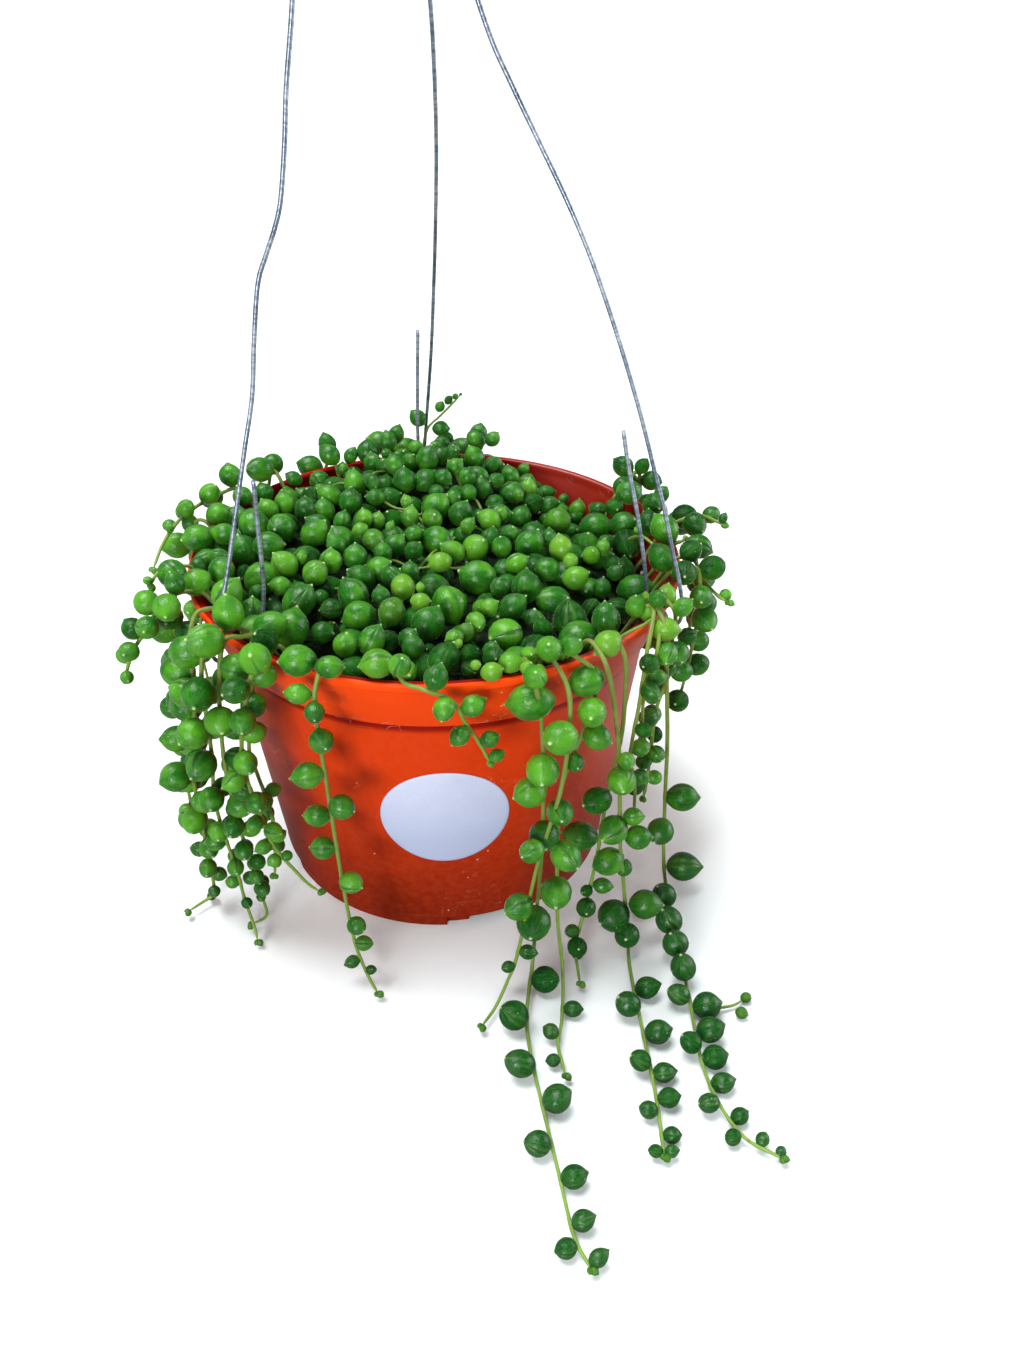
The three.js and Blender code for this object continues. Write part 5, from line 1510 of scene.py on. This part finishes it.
# %% Pearls that the picture shows
LANDMARKS = {
    "bright": [
        (-10, -29, 110, 3.5, -90), (-5, -33, 112, 1.3, 90), (-5, -39, 111, 2.4, 0), (1, -15, 110, 3.1, 200),
        (-1, -17, 112, 1.7, 180), (5, -63, 112, 1.1, -90), (38, -6, 109, 3.6, 100),
        (40, -14, 109, 2.3, -80), (64, -40, 111, 3.1, 80), (62, -51, 107, 3.7, -5),
        (44, -64, 111, 3.7, None), (13, -74, 110, 2.7, None), (9, -72, 111, 1.4, None),
        (22, -74, 111, 1.9, None), (25, -75, 111, 1.4, 0), (59, -36, 109, 1.1, 90),
    ],
    "light": [
        (-44, -19, 113, 3.8, 135), (-35, -23, 112, 3.7, 45), (-39, -19, 115, 1.7, 90),
        (-22, 8, 114, 2.7, 100), (-18, 8, 113, 2.4, 80), (-23, 0, 114, 2.2, 200), (-14, 2, 114, 1.5, 60),
        (-19, -3, 112, 3.2, 270), (-8, 12, 112, 3, 80), (-9, 19, 114, 2.1, 110), (-1, 12, 111, 3.3, None),
        (5, -6, 109, 3.5, 150), (12, -2, 108, 4.1, None), (-13, -41, 109, 3.8, 250), (7, -53, 109, 2.5, 60),
        (4, -57, 110, 2.3, 200), (-3, -79, 111, 3.3, None), (-9, -74, 111, 3.4, None),
        (-16, -70, 111, 3.9, 190), (23, -67, 110, 2.7, None), (18, -70, 110, 2.9, None),
        (14, -40, 109, 2.7, 30), (12, -41, 109, 2.9, None), (10, -48, 109, 2.9, None),
        (47, -9, 108, 2.8, None), (51, -6, 109, 2.3, 80), (41, -19, 106, 3.7, 20), (40, 21, 105, 4.1, None),
        (17, 13, 110, 3.4, 150), (21, 15, 111, 2.1, 60), (28, 33, 109, 1.9, None), (32, 44, 106, 3.3, 80),
        (10, 7, 111, 2.4, 50), (60, -24, 102, 5.2, 60),
    ],
    "plain": [
        (-36, 58, 114, 3.7, 140), (-29, 62, 112, 2.6, 60), (-23, 65, 112, 4.2, 90),
        (-16, 67, 115, 3.3, 100), (-48, 50, 109, 2.8, 150), (-43, 54, 107, 4, 95), (-76, 15, 113, 2.4, 180),
        (-57, 39, 109, 3.3, 110), (-53, 19, 112, 3.6, 120), (-48, 22, 113, 3.4, 100),
        (-41, 17, 113, 3.5, 90), (-35, 15, 113, 3.7, 95), (-34, 27, 113, 3.7, 150), (-26, 33, 114, 3.9, 95),
        (-27, 22, 113, 3.8, 88), (-20, 30, 116, 2.6, None), (-19, 23, 114, 2.8, 180),
        (-15, 24, 113, 3.7, 20), (-10, 33, 115, 3.9, 90), (-3, 33, 115, 3.8, 45), (3, 33, 116, 2.8, None),
        (7, 39, 117, 2.9, 45), (11, 35, 115, 2.9, None), (14, 51, 115, 3.6, None),
        (-13, 41, 117, 3.2, None), (-2, 44, 118, 3.9, None), (6, 48, 118, 2.6, None),
        (-6, 54, 118, 2.6, None), (15, 67, 115, 3.4, None), (-56, 8, 112, 5, None),
        (-47, 4, 113, 4.4, None), (-37, 2, 112, 4.2, 50), (-42, -3, 112, 4.7, 70),
        (-50, -7, 113, 4.1, None), (-57, -8, 112, 4.4, 110), (-29, -1, 111, 4.4, 120), (-29, 8, 113, 3, 75),
        (-13, -4, 110, 3.8, 50), (-7, 2, 111, 2.7, 20), (0, 21, 111, 4.6, 45), (8, 18, 110, 3.7, 60),
        (6, 24, 113, 2.5, None), (11, 27, 113, 2.8, None), (-64, 1, 113, 3.5, 170),
        (-68, 15, 113, 3.6, None), (-72, 1, 112, 4.4, None), (-73, -6, 112, 3.1, 90),
        (-62, -20, 112, 3.9, 50), (-58, -40, 113, 5.8, 170), (-68, -27, 112, 3.9, None),
        (-50, -24, 111, 5.2, 20), (-31, -16, 112, 3.4, 90), (-24, -12, 111, 3.7, 90),
        (-30, -8, 113, 2.9, 120), (-22, -23, 110, 3.9, 150), (-17, -18, 110, 3.7, 30),
        (-16, -10, 111, 2.9, 90), (-7, -7, 110, 2.9, 50), (0, 3, 108, 4.8, None), (-39, -34, 109, 4.7, 50),
        (-24, -31, 109, 4.5, 120), (-16, -34, 110, 2.7, 100), (-13, -23, 110, 3.1, 130),
        (-8, -20, 110, 2.8, 90), (-51, -41, 110, 3.9, 85), (-40, -47, 108, 5.1, 75),
        (-22, -41, 108, 4.2, 200), (-25, -56, 108, 3.3, None), (-18, -54, 108, 3.8, 60),
        (-7, -58, 108, 3.1, 100), (-49, -59, 112, 4.5, 190), (-36, -69, 112, 4.3, 185),
        (-28, -71, 111, 3.2, 0), (3, -33, 106, 5.2, None), (-3, -45, 107, 4.6, 60), (1, -63, 107, 4.3, 60),
        (21, 65, 116, 2.7, 45), (20, 50, 113, 2.6, 45), (7, 25, 114, 2.5, None), (21, 39, 112, 2.6, None),
        (26, 48, 109, 3.3, 100), (26, 37, 108, 4, None), (33, 37, 104, 3.3, 20), (23, 5, 109, 2.7, None),
        (39, 39, 102, 3.3, None), (43, 34, 102, 2.6, None), (48, 47, 99, 3.7, 100), (54, 43, 99, 3.7, None),
        (57, 39, 108, 4.2, None), (66, 38, 116, 4.7, 40), (64, 27, 112, 4.1, None),
        (61, 18, 105, 4.1, None), (53, 23, 101, 5.4, 185), (67, 6, 111, 3.6, 90), (70, 15, 113, 3.7, None),
        (29, 1, 107, 4.5, 60), (20, -2, 108, 3.2, None), (8, 4, 109, 3, 70), (24, -13, 108, 3.2, 30),
        (12, -18, 106, 5.4, 160), (18, -27, 108, 2.8, None), (26, -24, 106, 4.5, 90),
        (33, -15, 107, 3.7, 160), (21, -37, 107, 4.1, 40), (18, -50, 106, 4.8, None),
        (37, -40, 104, 4.9, 95), (38, -51, 105, 5, 200), (48, -36, 101, 4.4, 75), (45, -51, 111, 3.6, 90),
        (14, -64, 108, 3, None), (71, -10, 112, 4.6, 150),
    ],
    "deep": [
        (-28, 63, 108, 4.6, None), (-14, 17, 108, 4, None), (-32, -24, 107, 3.9, 30),
        (-30, -35, 107, 3, None), (-28, -39, 107, 2.4, None), (-32, -46, 106, 3.1, None),
        (-30, -45, 106, 2.6, None), (-25, -46, 106, 2.6, None), (-14, -50, 105, 3.1, None),
        (-14, -41, 105, 3.2, None), (0, -13, 104, 5.2, None), (8, -58, 105, 3.1, None),
        (-18, -23, 107, 2.8, None), (-56, -19, 111, 1.9, None), (-52, -11, 111, 2.8, None),
        (-42, -23, 110, 2.2, None), (-5, -10, 107, 2.6, None), (-65, -2, 109, 3.2, None),
        (-70, -13, 110, 2.5, None), (-3, -56, 106, 1.5, None), (61, 9, 102, 4.9, None),
        (54, -8, 104, 2.9, None), (57, -10, 103, 3.5, None), (49, -19, 102, 2.9, 80),
        (46, -18, 101, 4, None), (34, -25, 101, 5.1, None), (53, -27, 99, 4, None),
        (29, -44, 104, 2.7, None), (45, -27, 100, 2.8, None), (26, -53, 102, 5, None),
        (8, -65, 105, 2.5, None), (20, 31, 107, 3.2, None), (36, -50, 103, 3.2, None),
    ],
}
print("pearls told apart:", {kind: len(rows) for kind, rows in LANDMARKS.items()})

# %% [markdown]
# ## Room in the mat
# In the mat the pearls press against each other, so each may sink a little into its neighbours. The
# crown keeps the mat's pearls, and tells how deep a new one would sink into them, into the pearls of
# the hanging stems, into the stems and into the wires. One spot beside the right wire stays open, and
# there the mix shows.

# %% Room in the mat
HOLLOW_X, HOLLOW_Y, HOLLOW_REACH = 65.0, -5.5, 11.0
LIP_REACH = 38.0
FIXED_SINK, WIRE_GAP, WALL_SINK, STEM_SINK = 0.4, 0.1, 0.3, 2.2


def in_hollow(x, y, margin=0.0):
    """Is a place in the open spot, or within a margin of it?"""
    return math.hypot(x - HOLLOW_X, y - HOLLOW_Y) < HOLLOW_REACH + margin


def hung(stems, start):
    """Balls of the stems' pearls from a distance along each stem on."""
    return np.array([[*p[0], p[1]] for s in stems for p in s["pearls"] if p[3] >= start])


class Crown:
    """The mat's pearls, checked against each other and against the pearls of the hanging stems."""

    def __init__(self, room, fixed):
        metal = np.isin(room.owner, [room.key(name) for name in wire_routes])
        self.fixed = fixed
        self.rods, self.wires = room.balls[room.rod & ~metal], room.balls[metal]
        self.rows, self.balls = [], np.zeros((0, 4))

    def depth(self, centre, radius, balls):
        """How deep a ball would sink into the nearest of these: the sum of radii less the distance."""
        return (radius + balls[:, 3] - np.linalg.norm(balls[:, :3] - centre, axis=1)).max(initial=-9.0)

    def put(self, centre, radius, axis, fresh=0.0, tone=None):
        """Keep a pearl."""
        self.rows.append((np.asarray(centre, float), radius, unit(axis), fresh, tone))
        self.balls = np.vstack([self.balls, [*centre, radius]])

    def fits(self, centre, radius, sink):
        """May a pearl go here, if it may sink into the mat's others by a share of its radius?"""
        if self.depth(centre, radius, self.balls) > sink * radius:
            return False
        if self.depth(centre, radius, self.fixed) > FIXED_SINK:
            return False
        if self.depth(centre, radius, self.wires) > -WIRE_GAP or wall_gap(centre) < radius - WALL_SINK:
            return False
        return self.depth(centre, radius, self.rods) < STEM_SINK


STEMS = TRAILS + EXTRAS
crown = Crown(room, hung(STEMS, LIP_REACH))
print("pearls already hanging:", len(crown.fixed))

# %% [markdown]
# ## Measured pearls take their places
# A measured pearl that would sink too far into one already there slides away from the eye until it
# fits, so it stays where the picture shows it. Then the pearls that the rule gave the stems near the
# lip make way for the measured ones.

# %% Measured pearls take their places
SWELL, SLIDE, SLIDES_MOST, MEASURED_SINK = 1.05, 0.7, 16, 0.18
# Freshness and tone of each kind; the low tone of the deep ones is a painted shade for the pearls that lie
# under the others.
HABIT = {"bright": (0.9, 0.8), "light": (0.3, 0.75), "plain": (0.0, 0.5), "deep": (0.0, 0.15)}


def measured(crown, seed):
    """Put every measured pearl, sliding it along the line of sight until it fits."""
    draw = np.random.default_rng(seed)
    right, up, forward = eye_axes()
    for kind, rows in LANDMARKS.items():
        fresh, tone = HABIT[kind]
        for *centre, size, tip in rows:
            radius, away = SWELL * size, unit(centre - EYE)
            axis = draw.normal(0, 0.7, 3) - 0.5 * forward
            if tip is not None:
                turn = math.radians(tip)
                axis = math.cos(turn) * right + math.sin(turn) * up - draw.uniform(0, 0.5) * forward
            for k in range(SLIDES_MOST):
                spot = centre + SLIDE * k * away
                if crown.fits(spot, radius, MEASURED_SINK):
                    crown.put(spot, radius, axis, fresh, tone + draw.normal(0, 0.17))
                    break


def make_way(crown, stems):
    """Take away the stems' pearls near the lip where a measured one sits, or where the hollow is."""
    before = sum(len(stem["pearls"]) for stem in stems)
    for stem in stems:
        kept = []
        for pearl in stem["pearls"]:
            (x, y, z), radius, _, along = pearl
            unseen = "unseen" in stem["name"] and along < 24
            blocked = crown.depth(pearl[0], radius, crown.balls) > 0.7 or (in_hollow(x, y) and z < 109)
            if along >= LIP_REACH or not (unseen or blocked):
                kept.append(pearl)
        stem["pearls"] = kept
    crown.fixed = hung(stems, 0)
    return before - sum(len(stem["pearls"]) for stem in stems)


measured(crown, 8)
print("measured pearls placed:", len(crown.rows))
print("stems' pearls that make way:", make_way(crown, STEMS))

# %% [markdown]
# ## Caps and filling
# Each stem gets a pearl or two on top of its bend over the lip. The rest of the mat is filled by seeded
# tries in three rounds: large ones near the top, others deeper, where they show only through the gaps,
# and small ones last.

# %% Caps and filling
def cap(crown, stems, seed):
    """Put a pearl or two on each stem where it bends over the lip, on top of the bend."""
    draw = np.random.default_rng(seed)
    for stem in stems:
        for along in (22.0, 28.0, 34.0):
            point, radius = stem["route"].at(along), draw.uniform(2.7, 3.9)
            axis = unit(np.array([point[0] / 150, point[1] / 150, 1.0]) + draw.normal(0, 0.3, 3))
            centre = point + axis * radius * 0.9
            clear = crown.depth(centre, radius, crown.fixed) < 0.6 and wall_gap(centre) > radius - WALL_SINK
            clear = clear and crown.depth(centre, radius, crown.wires) < 0 and not in_hollow(*centre[:2], 4)
            if clear and crown.depth(centre, radius, crown.balls) < 0.3:
                crown.put(centre, radius, axis)


def fill(crown, seed, tries, sizes, drops, sink):
    """Try pearls at seeded places between two depths under the mat's top, smaller towards the back."""
    draw, before = np.random.default_rng(seed), len(crown.rows)
    for _ in range(tries):
        r, a = 70.0 * math.sqrt(draw.random()), 2 * math.pi * draw.random()
        x, y = r * math.cos(a), r * math.sin(a)
        radius = draw.uniform(*sizes) * (1 - 0.25 * min(1, max(0, y / 60)))
        drop = draw.uniform(*drops)
        centre = np.array([x, y, mat_top(x, y) - drop - radius])
        axis = np.array([0.012 * x, 0.012 * y, 0.75]) + draw.normal(0, 0.6, 3)
        if not in_hollow(x, y) and centre[2] > SOIL_TOP + radius and crown.fits(centre, radius, sink):
            # Painted shade: the deeper a filled pearl sits, the darker its tone.
            crown.put(centre, radius, axis, 0.0, 0.60 - 0.05 * drop + draw.normal(0, 0.13))
    return len(crown.rows) - before


cap(crown, STEMS, 9)
print("with the caps at the lip:", len(crown.rows))
print("large ones:", fill(crown, 1, 2400, (4.0, 5.2), (1.5, 4.5), 0.08))
print("deeper ones:", fill(crown, 2, 2600, (3.6, 4.8), (4.0, 9.0), 0.14))
print("small ones:", fill(crown, 3, 1500, (2.4, 3.6), (1.5, 5.5), 0.12))

# %% [markdown]
# ## Mat and stems are grown
# Only now is it settled which pearl sits where, so the meshes are made: the mat in a front and a back
# half, and each stem with its pearls.

# %% Mat and stems are grown
halves = {"front": [p for p in crown.rows if p[0][1] < 0], "back": [p for p in crown.rows if p[0][1] >= 0]}
for order, (side, rows) in enumerate(halves.items()):
    mat = pearl_part(rows, LEAF, 300 + order)
    new_piece("pearl_mat_" + side, [mat], ["pearl_mat"], level=1)
    print("pearls in the mat's", side, "half:", len(rows))
for order, stem in enumerate(TRAILS):
    grown(stem["name"].replace("stem_", "trail_"), stem, 100 + order, [stem["name"]])
for order, stem in enumerate(EXTRAS):
    grown("trail_" + stem["name"], stem, 200 + order)
print("stems grown:", len(STEMS))

# %% [markdown]
# ## Undergrowth
# Under all the pearls is bumpy undergrowth, so that no gap between them looks empty. Its near-black colour
# is painted shade for the deep shade between the pearls. A few bare stems wander through the mat.

# %% Undergrowth
def painted_shade_undergrowth_rings():
    """A polar grid under the pearls, bumpy, that meets the mix at its edge and closes below."""
    angles = np.linspace(0, 2 * math.pi, 120, endpoint=False)
    top = turned([(r, 0) for r in np.linspace(0.5, 62.0, 40)], angles)
    x, y = top[..., 0], top[..., 1]
    edge = np.sqrt(np.clip((62.0 - np.hypot(x, y)) / 9, 0, 1))
    hollow = bump_at(x, y, HOLLOW_X, HOLLOW_Y, 7)
    high = mat_top(x, y) - 9.5 + 2.5 * waves(x, y, 8, 9, 12) + 1.5 * waves(x, y, 3, 9, 13)
    top[..., 2] = SOIL_TOP - 2 + (high - SOIL_TOP + 2) * edge * (1 - 0.8 * hollow)
    bottom = turned([(62.0, SOIL_TOP - 5), (0.5, SOIL_TOP - 5)], angles)
    return np.vstack([top, bottom])[::-1]


def make_painted_shade_undergrowth():
    """Undergrowth painted in the very dark green of deep shade, with brownish crumbs: painted shade."""
    material, tree, shader = new_finish("painted_shade_undergrowth")
    tone = tree.group(MOTTLE, Scale=450.0, Low=0.35, High=0.65)
    # Painted shade: near-black green for the shade between the pearls.
    colour = tree.blend(tone, (0.002, 0.010, 0.003, 1), (0.012, 0.026, 0.006, 1))
    rough = tree.between(tone, 0.0, 1.0, 0.7, 0.9)
    dress(tree, shader, Base_Color=colour, Roughness=rough, Normal=bump(tree, tone, 0.001))
    dress(tree, shader, Specular_IOR_Level=0.1)
    return material


painted_shade_undergrowth = (*skin(painted_shade_undergrowth_rings()), make_painted_shade_undergrowth(), {})
new_piece("mat_painted_shade_undergrowth", [painted_shade_undergrowth], ["pearl_mat"])


def wanderers(count, seed):
    """Bare stems through the mat: a start, a heading that drifts, and a height just under the tops."""
    draw, parts = np.random.default_rng(seed), []
    for _ in range(count):
        x, y = draw.uniform(-45, 45, 2)
        heading, points = draw.uniform(0, 2 * math.pi), []
        for _ in range(9):
            points.append((x, y, mat_top(x, y) - draw.uniform(4.0, 7.5)))
            heading += draw.normal(0, 0.45)
            x, y = x + 6.5 * math.cos(heading), y + 6.5 * math.sin(heading)
            if math.hypot(x, y) > 62:
                break
        if len(points) > 2:
            parts.append(vine_part(Route(points), 0.55, 0.45, []))
    return parts


bare = wanderers(7, 31)
new_piece("mat_stems", bare, ["pearl_mat"], level=1)
print("bare stems:", len(bare))
